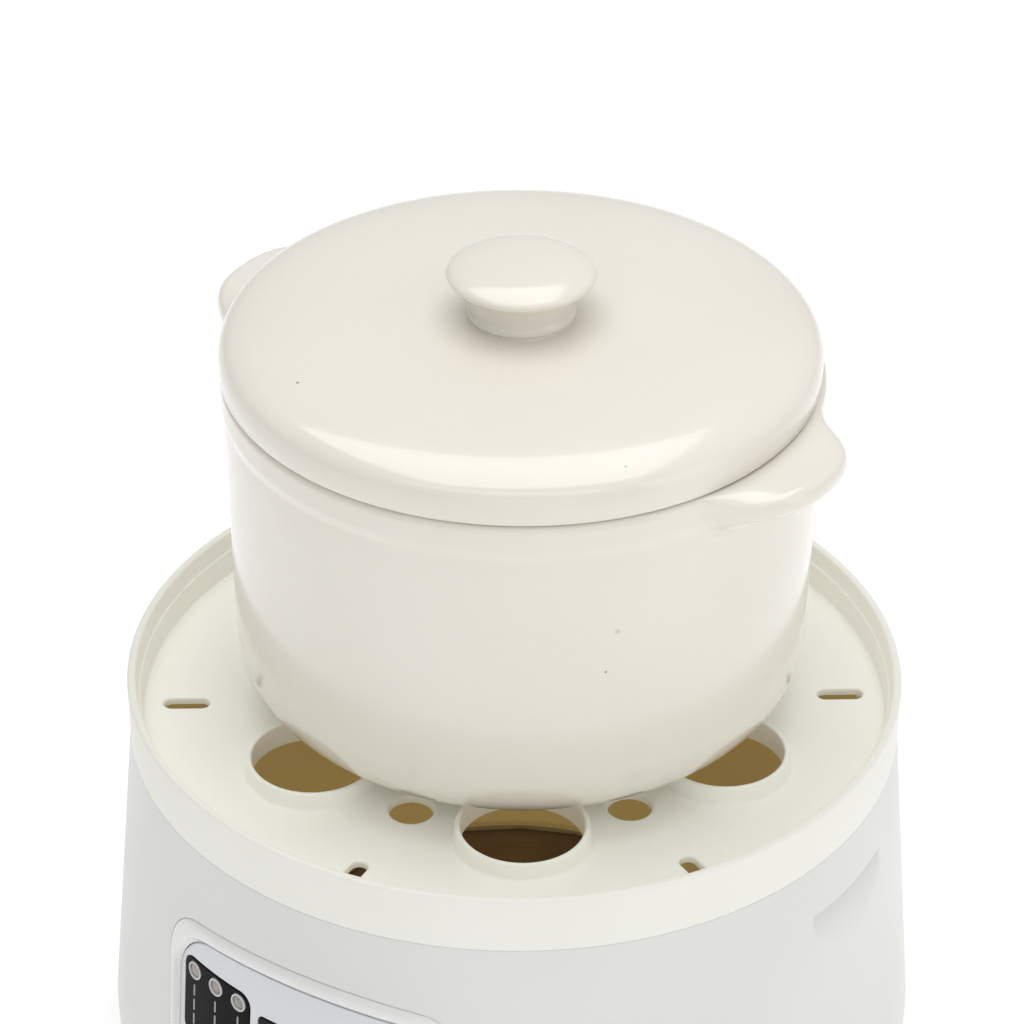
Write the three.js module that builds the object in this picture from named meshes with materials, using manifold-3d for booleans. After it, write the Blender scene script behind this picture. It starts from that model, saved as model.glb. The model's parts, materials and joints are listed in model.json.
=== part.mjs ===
// Electric water-bath stew pot and yogurt maker: a round plastic base with a water tank and a control panel,
// a steam tray that closes the tank, and a lidded ceramic crock that stands on the tray's cup collars.
// Millimetres, +Z up, origin on the table under the centre of the base. The control panel faces -Y.
import * as THREE from 'three';
import { mergeVertices } from 'three/addons/utils/BufferGeometryUtils.js';
import Module from 'manifold-3d';

const wasm = await Module();
wasm.setup();

// ---------------------------------------------------------------- driving dimensions
const gap = 0.3; // between pieces that touch
const slip = 0.4; // between a button or a lamp and its hole

// Base housing
const footHeight = 5;
const partingHeight = 144; // housing top edge, where the tray's band starts
const housingTopRadius = 134.5;
const housingMaxRadius = 144;
const housingMaxHeight = 29; // height of the widest place
const housingBottomRadius = 139.5;
const housingWall = 3;
const shelfDepth = 3.9; // shelf that carries the tank's flange
const shelfThickness = 3;

// Finger grips on both sides
const gripLipHeight = 124.5;
const gripLength = 45;
const gripDepth = 5;
const gripDrop = 23;

// Control panel, sizes seen from the front
const panelTop = 119;
const panelHeight = 87;
const panelHalfWidth = 60;
const panelArch = 5.5; // the top edge's fall from its middle to its sides
const panelTopCorner = 15;
const panelLowCorner = 10;
const windowTopCorner = 17;
const windowLowCorner = 12;
const stripCorner = 5;
const displayCorner = 2.5;
const bezelTopWidth = 7.5;
const bezelSideWidth = 4.6;
const bezelProud = 1.2;
const bezelThickness = 4.2;
const fasciaSetBack = 1.2;
const fasciaThickness = 2;
const glassProud = 0.2; // strips and display in front of the fascia
const lampProud = 0.6; // in front of the fascia
const stripDrop = 12; // from the fascia window's top
const stripToButtons = 7;
const stripMargin = 2.9; // from the fascia window's side
const stripToDisplay = 3.4;
const lampDrop = 5; // from the strip's top
const lampSpacing = 4.57; // between neighbouring lamps
const lampsPerStrip = 3;
const displayDrop = 17.3; // from the fascia window's top
const displayToButtons = 15.7;
const displayHalfWidth = 15.6;
const buttonRise = 15.5; // from the fascia window's bottom
const buttonSpacing = 7;
const buttonMargin = 6.9; // from the fascia window's side
const buttonBreadth = 9;
const buttonCount = 4;
const buttonFlange = 1.5;
const buttonTravel = 1;
const buttonProud = 0.9; // in front of the fascia

// Boards
const boardToTank = 3.6;
const boardThickness = 1.6;
const boardMargin = 6.4; // from the fascia window's side
const boardDrop = 3.5; // from the fascia window's top
const boardRise = 0.5; // from the fascia window's bottom
const boardPostInset = 4.3;
const switchSide = 6;
const switchBody = 2.8;
const switchPlunger = 0.6;

// Water tank
const tankWall = 2.2;
const tankMouthRadius = 125;
const tankFlangeThickness = 2.9;
const tankFloor = 35;
const tankFloorThickness = 3;
const tankWellRadius = 81;
const tankLowRadius = 108;
const tankMiddleRadius = 113;
const tankMiddleDrop = 39; // from the parting line
const tankThroatInset = 3;
const tankThroatDrop = 13;
const tankMouthDrop = 7;
const tankCornerRadius = 24;

// Heater under the tank
const plateRadius = 88;
const plateThickness = 2;
const gasketThickness = 1.7;
const clampInnerRadius = 80;
const clampOuterRadius = 98;
const clampThickness = 1.5;
const clampScrewCircle = 94;
const elementRadius = 62;
const elementTube = 4;

// Steam tray
const trayRimHeight = 21; // above the parting line
const trayRimFlare = 0.5; // beyond the housing's top
const trayRimWall = 3.6;
const trayFloorRise = 5.5; // above the parting line
const trayFloorThickness = 2.8;
const trayTurn = 4.2; // degrees that the hole pattern is turned from the front
const cupHoleCircle = 81.2;
const cupHoleRadius = 21;
const collarWall = 2;
const collarHeight = 6.2;
const steamHoleCircle = 74;
const steamHoleRadius = 7.6;
const slotCircle = 114.7;
const slotLength = 16;
const slotWidth = 6;

// Crock and lid
const crockX = -2.6;
const crockY = 8.2;
const crockHeight = 125.5;
const crockRadius = 101;
const crockTaper = 2; // smaller at the bottom
const crockWall = 6;
const crockFloor = 7;
const crockCornerRadius = 25;
const crockFootInset = 6;
const crockBeadProud = 1.1;
const crockBeadHeight = 11.5;
const earLength = 18.6; // beyond the bead
const earHalfAngle = 22.5; // degrees
const earTurn = -3; // degrees from the X axis
const earTipThickness = 8;
const earRootThickness = 15;
const lidRadius = 101.5;
const lidX = -3.3; // the lid rests a little to the left on its rim
const lidY = 7.7;
const lidEdgeHeight = 1; // from the crock's rim to the widest part of the lid
const lidDome = 18;
const lidRoundness = 4.35; // exponent of the superellipse that shapes the dome
const lidThickness = 6;
const lidLipInset = 9.8; // from the lid's edge
const lidLipWall = 4.5;
const lidLipDepth = 6;
const knobNeckRadius = 18.3;
const knobRadius = 25.2;
const knobHeight = 21; // from the dome's top

// Mains inlet at the back
const inletHeight = 30;
const inletWidth = 29;
const inletTall = 25;
const inletDepth = 24;
const inletFlange = 3;
const inletSetBack = 1.6;
const inletSocketDepth = 17;
const inletPinLength = 12;
const leadRadius = 1.6;

// Fasteners and feet
const coverThickness = 3;
const ventPitch = 10;
const footCircle = 112;
const footRadius = 10;
const footPegRadius = 3;
const coverScrewInset = 13.5; // from the housing's bottom edge
const coverScrewAngles = [30, 150, 210, 330];
const bossRadius = 5;
const coverScrew = { shank: 1.6, head: 3.4, headHeight: 1.8, length: 14 };
const boardScrew = { shank: 1.2, head: 2.5, headHeight: 1.4, length: 6 };
const clampScrew = { shank: 1.6, head: 3.4, headHeight: 1.8, length: 7 };

// Facets of round pieces
const bigFacets = 48;
const crockFacets = 40;
const hiddenFacets = 24;
const panelFacets = 72;
const holeFacets = 16;
const smallFacets = 8;
const cornerSteps = 6;
const archSteps = 8;

// Worked-out levels
const housingTop = partingHeight;
const coverTop = footHeight + coverThickness;
const coverScrewCircle = housingBottomRadius - coverScrewInset;
const plateTop = tankFloor - tankFloorThickness - gap - gasketThickness - gap;
const plateBottom = plateTop - plateThickness;
const clampTop = plateBottom - gap;
const trayRimTop = partingHeight + trayRimHeight;
const trayRimRadius = housingTopRadius + trayRimFlare;
const trayFloorTop = partingHeight + trayFloorRise;
const collarTop = trayFloorTop + collarHeight;
const crockBase = collarTop + gap;
const crockTop = crockBase + crockHeight;
const crockLowRadius = crockRadius - crockTaper;
const crockBeadRadius = crockRadius + crockBeadProud;
const earReach = crockBeadRadius + earLength;
const lidBase = crockTop + gap;
const lidLipRadius = lidRadius - lidLipInset;

// The fascia's window in the bezel and what is laid out in it
const panelBottom = panelTop - panelHeight;
const windowSides = {
  x: panelHalfWidth - bezelSideWidth,
  top: panelTop - bezelTopWidth,
  bottom: panelBottom + bezelTopWidth,
};
const buttonHeight = windowSides.bottom + buttonRise;
const buttonTop = buttonHeight + buttonBreadth / 2;
const buttonRow = 2 * (windowSides.x - buttonMargin);
const buttonLength = (buttonRow - (buttonCount - 1) * buttonSpacing) / buttonCount;
const buttonXs = Array.from({ length: buttonCount }, (_, i) => (
  (i - (buttonCount - 1) / 2) * (buttonLength + buttonSpacing)
));
const stripTop = windowSides.top - stripDrop;
const stripBottom = buttonTop + stripToButtons;
const stripInnerX = displayHalfWidth + stripToDisplay;
const stripOuterX = windowSides.x - stripMargin;
const lampHeight = stripTop - lampDrop;
const lampPitch = (stripOuterX - stripInnerX) / lampsPerStrip;
const lampXs = Array.from({ length: lampsPerStrip }, (_, i) => stripInnerX + lampPitch * (i + 0.5));
const lampRadius = (lampPitch - lampSpacing) / 2;
const displayTop = windowSides.top - displayDrop;
const displayBottom = buttonTop + displayToButtons;
const boardHalfWidth = windowSides.x - boardMargin;
const boardTop = windowSides.top - boardDrop;
const boardBottom = windowSides.bottom + boardRise;
const boardBackY = -(tankMiddleRadius + tankWall + boardToTank);
const boardFrontY = boardBackY - boardThickness;
const switchTopY = boardFrontY - gap - switchBody - switchPlunger;
const inletFace = housingRadius(inletHeight) - inletSetBack;
const inletBack = inletFace - inletDepth;

// ---------------------------------------------------------------- materials
const plastic = (color, roughness) => new THREE.MeshStandardMaterial({ color, roughness, metalness: 0 });
const metal = (color, roughness) => new THREE.MeshStandardMaterial({ color, roughness, metalness: 1 });
const materials = {
  housing: plastic(0xe9e9e6, 0.28),
  bezel: plastic(0xf0f0ee, 0.2),
  fascia: plastic(0xc9cdd2, 0.35),
  black: plastic(0x0d0c0d, 0.12),
  button: plastic(0xe2e3e4, 0.3),
  lamp: plastic(0x9a8478, 0.25),
  tray: plastic(0xe8e4d3, 0.32),
  tank: plastic(0xc9bc8e, 0.4),
  ceramic: plastic(0xece7dd, 0.08),
  rubber: plastic(0x2a2a2b, 0.85),
  silicone: plastic(0xd8d5cf, 0.6),
  board: plastic(0x1f5a34, 0.5),
  component: plastic(0x1a1a1c, 0.5),
  lead: plastic(0xd9d9d6, 0.45),
  steel: metal(0xb9bcbf, 0.3),
  plate: metal(0xc6c8ca, 0.25),
  brass: metal(0xc9a24b, 0.3),
};

// ---------------------------------------------------------------- solids
const group = new THREE.Group();

function solidOf(geometry) {
  const bare = geometry.index ? geometry.toNonIndexed() : geometry.clone();
  bare.deleteAttribute('normal');
  bare.deleteAttribute('uv');
  const merged = mergeVertices(bare, 1e-4);
  const index = merged.index.array;
  const triVerts = [];
  for (let i = 0; i < index.length; i += 3) {
    const [a, b, c] = [index[i], index[i + 1], index[i + 2]];
    if (a !== b && b !== c && c !== a) triVerts.push(a, b, c);
  }
  return new wasm.Manifold(new wasm.Mesh({
    numProp: 3,
    vertProperties: merged.attributes.position.array,
    triVerts: new Uint32Array(triVerts),
  }));
}

function add(name, solid, material) {
  const mesh = solid.getMesh();
  const geometry = new THREE.BufferGeometry();
  geometry.setAttribute('position', new THREE.BufferAttribute(new Float32Array(mesh.vertProperties), 3));
  geometry.setIndex(new THREE.BufferAttribute(new Uint32Array(mesh.triVerts), 1));
  const object = new THREE.Mesh(geometry, material);
  object.name = name;
  group.add(object);
}

// Solid of revolution about Z from a closed outline of [radius, height] points.
function revolve(points, facets = bigFacets) {
  let area = 0;
  points.forEach(([r, z], i) => {
    const [r2, z2] = points[(i + 1) % points.length];
    area += r * z2 - r2 * z;
  });
  const outline = area > 0 ? [...points] : [...points].reverse();
  const profile = [...outline, outline[0]].map(([r, z]) => new THREE.Vector2(r, z));
  return solidOf(new THREE.LatheGeometry(profile, facets).rotateX(Math.PI / 2));
}

function box(x0, x1, y0, y1, z0, z1) {
  const geometry = new THREE.BoxGeometry(x1 - x0, y1 - y0, z1 - z0);
  return solidOf(geometry.translate((x0 + x1) / 2, (y0 + y1) / 2, (z0 + z1) / 2));
}

// Upright disc or post.
function post(x, y, z0, z1, radius, facets = smallFacets) {
  const geometry = new THREE.CylinderGeometry(radius, radius, z1 - z0, facets).rotateX(Math.PI / 2);
  return solidOf(geometry.translate(x, y, (z0 + z1) / 2));
}

// Round bar along Y.
function barY(x, z, y0, y1, radius, facets = smallFacets) {
  const geometry = new THREE.CylinderGeometry(radius, radius, y1 - y0, facets);
  return solidOf(geometry.translate(x, (y0 + y1) / 2, z));
}

// Outline in the front view (x, z), swept along Y from y0 to y1.
function sweepY(shape, y0, y1, steps = 3) {
  const geometry = new THREE.ExtrudeGeometry(shape, { depth: y1 - y0, bevelEnabled: false, curveSegments: steps });
  return solidOf(geometry.rotateX(Math.PI / 2).translate(0, y1, 0));
}

// Outline in plan (x, y), swept up from z0 to z1.
function sweepZ(shape, z0, z1, steps = 2) {
  const geometry = new THREE.ExtrudeGeometry(shape, { depth: z1 - z0, bevelEnabled: false, curveSegments: steps });
  return solidOf(geometry.translate(0, 0, z0));
}

function roundedRectangle(x0, x1, z0, z1, corner) {
  const c = Math.min(corner, (x1 - x0) / 2, (z1 - z0) / 2);
  const shape = new THREE.Shape();
  shape.moveTo(x0 + c, z0);
  shape.absarc(x1 - c, z0 + c, c, -Math.PI / 2, 0);
  shape.absarc(x1 - c, z1 - c, c, 0, Math.PI / 2);
  shape.absarc(x0 + c, z1 - c, c, Math.PI / 2, Math.PI);
  shape.absarc(x0 + c, z0 + c, c, Math.PI, Math.PI * 1.5);
  return shape;
}

const beyond = Math.max(housingMaxRadius, housingTopRadius) + 8; // clear of the housing all round
const midway = 60; // short of the skin on the side that is cut
const radians = (degrees) => (degrees * Math.PI) / 180;

// Point at an angle from the front, positive towards +X.
function fromFront(degrees, radius) {
  return [radius * Math.sin(radians(degrees)), -radius * Math.cos(radians(degrees))];
}

// ---------------------------------------------------------------- base housing
function housingRadius(z) {
  if (z >= housingMaxHeight) {
    const t = (z - housingMaxHeight) / (partingHeight - housingMaxHeight);
    return housingMaxRadius + (housingTopRadius - housingMaxRadius) * t;
  }
  const t = (housingMaxHeight - z) / (housingMaxHeight - footHeight);
  return housingBottomRadius + (housingMaxRadius - housingBottomRadius) * Math.sqrt(Math.max(0, 1 - t * t));
}

const housingLevels = [0, 0.12, 0.45, 1].map((t) => footHeight + (housingMaxHeight - footHeight) * t);

// Outline points up the housing's outside, moved out by `offset`.
function housingSide(offset, top = partingHeight) {
  return [...housingLevels, top].map((z) => [housingRadius(z) + offset, z]);
}

// Everything inside the housing's outside, moved out by `offset`.
function housingCore(offset, facets = bigFacets) {
  return revolve([[0, footHeight], ...housingSide(offset), [0, partingHeight]], facets);
}

function housingShell() {
  const inside = housingSide(-housingWall, housingTop - tankFlangeThickness - gap).reverse();
  const [topRadius, flangeSeat] = inside[0];
  const mouth = housingTopRadius - housingWall;
  return revolve([
    ...housingSide(0),
    [mouth, housingTop],
    [mouth, flangeSeat],
    [topRadius - shelfDepth, flangeSeat],
    [topRadius - shelfDepth, flangeSeat - shelfThickness],
    [housingRadius(flangeSeat - shelfThickness) - housingWall, flangeSeat - shelfThickness],
    ...inside.slice(1),
  ]);
}

// Wedge that hollows a finger grip under its lip; `grow` makes the pad behind it.
function gripWedge(side, grow) {
  const face = housingRadius(gripLipHeight) - gripDepth - grow;
  const low = gripLipHeight - gripDrop;
  const shape = new THREE.Shape();
  shape.moveTo(face, gripLipHeight + grow);
  shape.lineTo(beyond, gripLipHeight + grow);
  shape.lineTo(beyond, low - grow);
  shape.lineTo(housingRadius(low) - grow, low - grow);
  shape.closePath();
  const length = gripLength / 2 + grow;
  const wedge = sweepY(shape, -length, length);
  return side > 0 ? wedge : wedge.rotate([0, 0, 180]);
}

function coverBoss(angle) {
  const [x, y] = fromFront(angle, coverScrewCircle);
  const top = coverTop + gap + coverScrew.length + 6;
  const pin = post(x, y, coverTop + gap, top, bossRadius);
  const rib = box(-1.5, 1.5, -housingMaxRadius, -coverScrewCircle, coverTop + gap, top).rotate([0, 0, angle]);
  const hole = post(x, y, footHeight, coverTop + gap + coverScrew.length, coverScrew.shank + gap);
  return pin.add(rib.intersect(housingCore(-housingWall / 2))).subtract(hole);
}

// Rounded outline in the front view whose top edge is arched: highest in the middle.
function archedOutline(halfWidth, bottom, top, topCorner, lowCorner) {
  const shape = new THREE.Shape();
  const flat = halfWidth - topCorner;
  const lineTo = (x, z) => shape.lineTo(x, z - panelArch * (x / panelHalfWidth) ** 2);
  const topArc = (centreX, from) => {
    for (let i = 0; i <= cornerSteps; i += 1) {
      const a = from + ((Math.PI / 2) * i) / cornerSteps;
      lineTo(centreX + topCorner * Math.cos(a), top - topCorner + topCorner * Math.sin(a));
    }
  };
  shape.moveTo(lowCorner - halfWidth, bottom);
  shape.absarc(halfWidth - lowCorner, bottom + lowCorner, lowCorner, -Math.PI / 2, 0);
  topArc(flat, 0);
  for (let i = 1; i < archSteps; i += 1) lineTo(flat - (2 * flat * i) / archSteps, top);
  topArc(-flat, Math.PI / 2);
  shape.absarc(lowCorner - halfWidth, bottom + lowCorner, lowCorner, Math.PI, Math.PI * 1.5);
  return shape;
}

function panelOutline(inset) {
  return archedOutline(
    panelHalfWidth - inset, panelBottom + inset, panelTop - inset, panelTopCorner - inset, panelLowCorner - inset,
  );
}

function outerHousing() {
  let housing = housingShell();
  for (const angle of coverScrewAngles) housing = housing.add(coverBoss(angle));
  for (const side of [-1, 1]) {
    const pad = gripWedge(side, housingWall - 0.5).intersect(housingCore(-housingWall / 2));
    housing = housing.add(pad).subtract(gripWedge(side, 0));
  }
  const front = sweepY(panelOutline(-gap), -beyond, -midway);
  const back = sweepY(inletOutline(gap), midway, beyond);
  add('outer_housing', housing.subtract(front).subtract(back), materials.housing);
}

// ---------------------------------------------------------------- bottom cover, feet and screws
// Screw standing on its head: the head's underside is at z = 0 and the shank goes up.
function screw(kind, facets = smallFacets) {
  return revolve([
    [0, -kind.headHeight], [kind.head, -kind.headHeight], [kind.head, 0],
    [kind.shank, 0], [kind.shank, kind.length], [0, kind.length],
  ], facets);
}

const footAngles = [45, 135, 225, 315];
const powerBoard = { x: -118, halfWide: 15.5, halfLong: 32, lift: 4 };
const powerBoardBottom = coverTop + powerBoard.lift;
const powerPosts = [-1, 1].map((side) => [powerBoard.x, side * (powerBoard.halfLong - 4)]);

function bottomCover() {
  const radius = housingBottomRadius - housingWall - gap - 0.1;
  let cover = revolve([[0, footHeight], [radius, footHeight], [radius, coverTop], [0, coverTop]]);
  for (const angle of coverScrewAngles) {
    const [x, y] = fromFront(angle, coverScrewCircle);
    const counterbore = footHeight + coverScrew.headHeight;
    cover = cover.subtract(post(x, y, 0, counterbore + gap, coverScrew.head + gap));
    cover = cover.subtract(post(x, y, 0, coverTop + 1, coverScrew.shank + gap));
  }
  for (const angle of footAngles) {
    const [x, y] = fromFront(angle, footCircle);
    cover = cover.subtract(post(x, y, 0, coverTop + 1, footPegRadius + gap));
  }
  for (let i = -3; i <= 3; i += 1) {
    const x = i * ventPitch;
    cover = cover.subtract(box(x - 1.6, x + 1.6, -22, 22, 0, coverTop + 1));
  }
  for (const [x, y] of powerPosts) {
    cover = cover.add(post(x, y, coverTop - 1, powerBoardBottom - gap, 3));
    cover = cover.subtract(post(x, y, powerBoardBottom - 5, powerBoardBottom, boardScrew.shank + gap));
  }
  add('bottom_cover', cover, materials.housing);
}

function feetAndCoverScrews() {
  const top = footHeight - gap;
  const foot = revolve([
    [0, 0], [footRadius - 1, 0], [footRadius, 1.2], [footRadius, top],
    [footPegRadius, top], [footPegRadius, coverTop - 0.5], [0, coverTop - 0.5],
  ], 12);
  footAngles.forEach((angle, i) => {
    const [x, y] = fromFront(angle, footCircle);
    add(`foot_${i + 1}`, foot.translate([x, y, 0]), materials.rubber);
  });
  coverScrewAngles.forEach((angle, i) => {
    const [x, y] = fromFront(angle, coverScrewCircle);
    const seat = footHeight + coverScrew.headHeight;
    add(`cover_screw_${i + 1}`, screw(coverScrew).translate([x, y, seat]), materials.steel);
  });
}

// ---------------------------------------------------------------- water tank and heater
function waterTank() {
  const flangeTop = housingTop - gap;
  const flangeRadius = housingTopRadius - housingWall - gap;
  const corner = [tankLowRadius - tankCornerRadius, tankFloor + tankCornerRadius];
  const arc = (radius, steps) => Array.from({ length: steps + 1 }, (_, i) => {
    const a = radians(90 * (i / steps));
    return [corner[0] + radius * Math.sin(a), corner[1] - radius * Math.cos(a)];
  });
  const inner = [
    ...arc(tankCornerRadius, 3), [tankMiddleRadius, partingHeight - tankMiddleDrop],
    [tankMouthRadius - tankThroatInset, partingHeight - tankThroatDrop],
    [tankMouthRadius, partingHeight - tankMouthDrop], [tankMouthRadius, flangeTop],
  ];
  const outerArc = arc(tankCornerRadius + tankWall, 3);
  const floorBottom = tankFloor - tankFloorThickness;
  const outer = [
    [tankWellRadius, floorBottom], ...outerArc.filter(([, z]) => z > floorBottom + 1),
    [tankMiddleRadius + tankWall, partingHeight - tankMiddleDrop],
    [tankMouthRadius - tankThroatInset + tankWall, partingHeight - tankThroatDrop],
    [tankMouthRadius + tankWall, partingHeight - tankMouthDrop],
    [tankMouthRadius + tankWall, flangeTop - tankFlangeThickness],
    [flangeRadius, flangeTop - tankFlangeThickness], [flangeRadius, flangeTop],
  ];
  let tank = revolve([...outer, ...inner.reverse(), [tankWellRadius, tankFloor]]);
  const screwTop = clampTop - clampThickness + clampScrew.length;
  for (const [x, y] of clampScrewPlaces()) {
    const boss = post(x, y, clampTop + gap, tankFloor + 3.5, 4);
    tank = tank.add(boss.subtract(tankVoid(corner)));
    tank = tank.subtract(post(x, y, clampTop, screwTop + gap, clampScrew.shank + gap));
  }
  add('water_tank', tank, materials.tank);
}

// The rounded space above the tank's floor, which the screw bosses stay out of.
function tankVoid([cornerRadius, cornerHeight]) {
  const steps = 3;
  const arc = Array.from({ length: steps + 1 }, (_, i) => {
    const a = radians(90 * (i / steps));
    const reach = tankCornerRadius + 0.5;
    return [cornerRadius + reach * Math.sin(a), cornerHeight - reach * Math.cos(a)];
  });
  return revolve([[0, tankFloor - 0.5], ...arc, [0, cornerHeight]]);
}

function clampScrewPlaces() {
  return [0, 120, 240].map((angle) => fromFront(angle, clampScrewCircle));
}

function heater() {
  add('heating_plate', revolve([
    [0, plateBottom], [plateRadius, plateBottom], [plateRadius, plateTop], [0, plateTop],
  ], hiddenFacets), materials.plate);
  const gasketBottom = plateTop + gap;
  add('plate_gasket', revolve([
    [tankWellRadius + 1, gasketBottom], [plateRadius, gasketBottom],
    [plateRadius, gasketBottom + gasketThickness], [tankWellRadius + 1, gasketBottom + gasketThickness],
  ], hiddenFacets), materials.silicone);
  const clampBottom = clampTop - clampThickness;
  let clamp = revolve([
    [clampInnerRadius, clampBottom], [clampOuterRadius, clampBottom],
    [clampOuterRadius, clampTop], [clampInnerRadius, clampTop],
  ], hiddenFacets);
  clampScrewPlaces().forEach(([x, y], i) => {
    clamp = clamp.subtract(post(x, y, clampBottom - 1, clampTop + 1, clampScrew.shank + gap));
    add(`clamp_screw_${i + 1}`, screw(clampScrew).translate([x, y, clampBottom - gap]), materials.steel);
  });
  add('clamp_ring', clamp, materials.steel);
  heatingElement();
  sensors();
}

// Ring tube under the plate, open at the left where its terminals are.
function heatingElement() {
  const z = plateBottom - gap - elementTube;
  const sweep = [-165, 165].map(radians);
  class ElementPath extends THREE.Curve {
    getPoint(t, target = new THREE.Vector3()) {
      const a = sweep[0] + (sweep[1] - sweep[0]) * t;
      return target.set(elementRadius * Math.cos(a), elementRadius * Math.sin(a), z);
    }
  }
  add('heating_element', tube(new ElementPath(), elementTube, 24, 6), materials.steel);
}

function sensors() {
  const top = plateBottom - gap;
  add('temperature_sensor', post(0, 0, top - 7, top, 5.5, 12), materials.steel);
  const cutOut = post(30, 0, top - 6, top, 8, 12).add(box(25, 35, -2, 2, top - 9, top - 5));
  add('thermal_cut_out', cutOut, materials.component);
}

// Tube with closed ends along a curve.
function tube(curve, radius, steps, sides) {
  const section = new THREE.Shape();
  for (let i = 0; i < sides; i += 1) {
    const a = (2 * Math.PI * i) / sides;
    const [x, y] = [radius * Math.cos(a), radius * Math.sin(a)];
    if (i === 0) section.moveTo(x, y);
    else section.lineTo(x, y);
  }
  section.closePath();
  return solidOf(new THREE.ExtrudeGeometry(section, { steps, bevelEnabled: false, extrudePath: curve }));
}

// ---------------------------------------------------------------- control panel
// The part of the housing's skin between two offsets that lies in front of the tank.
function panelSkin(inner, outer) {
  const levels = [panelBottom - 6, Math.max(panelBottom - 3, housingMaxHeight), panelTop + 6];
  const side = (offset) => levels.map((z) => [housingRadius(z) + offset, z]);
  return revolve([...side(outer), ...side(inner).reverse()], panelFacets);
}

const fasciaFront = -fasciaSetBack;
const fasciaBack = fasciaFront - fasciaThickness;
function windowOutline(inset) {
  const { x, top, bottom } = windowSides;
  return archedOutline(
    x - inset, bottom + inset, top - inset, windowTopCorner - inset, windowLowCorner - inset,
  );
}

function controlBezel() {
  const frame = panelSkin(bezelProud - bezelThickness, bezelProud).intersect(
    sweepY(panelOutline(0), -beyond, -midway),
  );
  add('control_bezel', frame.subtract(sweepY(windowOutline(0), -beyond, -midway)), materials.bezel);
}

function stripOutline(side, inset) {
  const [low, high] = side > 0 ? [stripInnerX, stripOuterX] : [-stripOuterX, -stripInnerX];
  return roundedRectangle(low + inset, high - inset, stripBottom + inset, stripTop - inset, stripCorner - inset);
}

function displayOutline(inset) {
  const [x, low, high] = [displayHalfWidth - inset, displayBottom + inset, displayTop - inset];
  return roundedRectangle(-x, x, low, high, displayCorner - inset);
}

function buttonOutline(x, grow) {
  const [halfLong, halfTall] = [buttonLength / 2 + grow, buttonBreadth / 2 + grow];
  return roundedRectangle(
    x - halfLong, x + halfLong, buttonHeight - halfTall, buttonHeight + halfTall, halfTall,
  );
}

const boardPosts = [-1, 1].flatMap((side) => [
  [side * (boardHalfWidth - boardPostInset), boardTop - boardPostInset],
  [side * (boardHalfWidth - boardPostInset), boardBottom + boardPostInset],
]);

function panelFascia() {
  let fascia = panelSkin(fasciaBack, fasciaFront).intersect(sweepY(windowOutline(gap), -beyond, -midway));
  for (const side of [-1, 1]) fascia = fascia.subtract(sweepY(stripOutline(side, 0), -beyond, -midway));
  fascia = fascia.subtract(sweepY(displayOutline(0), -beyond, -midway));
  for (const x of buttonXs) fascia = fascia.subtract(sweepY(buttonOutline(x, slip), -beyond, -midway, 2));
  const inside = panelSkin(-midway, fasciaBack + 0.5);
  for (const [x, z] of boardPosts) {
    fascia = fascia.add(barY(x, z, -beyond, boardFrontY - gap, 3).intersect(inside));
    fascia = fascia.subtract(barY(x, z, boardFrontY - 4.6, boardFrontY, boardScrew.shank + gap));
  }
  add('panel_fascia', fascia, materials.fascia);
}

function indicatorStrips() {
  for (const [side, label] of [[-1, 'left'], [1, 'right']]) {
    let strip = panelSkin(fasciaBack, fasciaFront + glassProud).intersect(
      sweepY(stripOutline(side, gap), -beyond, -midway),
    );
    lampXs.forEach((x, i) => {
      strip = strip.subtract(barY(side * x, lampHeight, -beyond, -midway, lampRadius + slip, 12));
      const face = panelSkin(-midway, fasciaFront + lampProud);
      const pipe = barY(side * x, lampHeight, -beyond, boardFrontY - 2.5, lampRadius, 12);
      add(`lamp_${label}_${i + 1}`, pipe.intersect(face), materials.lamp);
    });
    add(`indicator_strip_${label}`, strip, materials.black);
  }
}

function displayWindow() {
  const pane = panelSkin(fasciaBack, fasciaFront + glassProud).intersect(
    sweepY(displayOutline(gap), -beyond, -midway),
  );
  add('display_window', pane, materials.black);
}

// Front-to-back place of the back of a button's flange, clear of the curved fascia's inside.
function buttonBack(x) {
  const radius = housingRadius(buttonHeight) + fasciaBack - gap;
  const edge = Math.abs(x) + buttonLength / 2 + buttonFlange;
  return -Math.sqrt(radius * radius - edge * edge) + 1.2;
}

function pushButtons() {
  buttonXs.forEach((x, i) => {
    const back = buttonBack(x);
    const cap = sweepY(buttonOutline(x, 0), -beyond, back, 2);
    const flange = sweepY(buttonOutline(x, buttonFlange), -beyond, back, 2);
    const stem = barY(x, buttonHeight, back - 0.5, switchTopY - buttonTravel - gap, 2.2);
    const button = cap.intersect(panelSkin(-midway, fasciaFront + buttonProud))
      .add(flange.intersect(panelSkin(-midway, fasciaBack - gap)))
      .add(stem);
    add(`button_${i + 1}`, button, materials.button);
  });
}

function displayBoard() {
  let board = box(-boardHalfWidth, boardHalfWidth, boardFrontY, boardBackY, boardBottom, boardTop);
  boardPosts.forEach(([x, z], i) => {
    board = board.subtract(barY(x, z, boardFrontY - 1, boardBackY + 1, boardScrew.shank + gap));
    const fixing = screw(boardScrew).rotate([90, 0, 0]).translate([x, boardBackY + gap, z]);
    add(`display_board_screw_${i + 1}`, fixing, materials.steel);
  });
  add('display_board', board, materials.board);
  const front = boardFrontY - gap;
  const half = displayHalfWidth - 1.5;
  const [low, high] = [displayBottom + 2, displayTop - 2];
  add('display_module', box(-half, half, front - 11, front, low, high), materials.component);
  buttonXs.forEach((x, i) => {
    const s = switchSide / 2;
    const body = box(x - s, x + s, front - switchBody, front, buttonHeight - s, buttonHeight + s);
    const plunger = barY(x, buttonHeight, switchTopY, front - 1, 1.6);
    add(`tact_switch_${i + 1}`, body.add(plunger), materials.component);
  });
}

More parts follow.
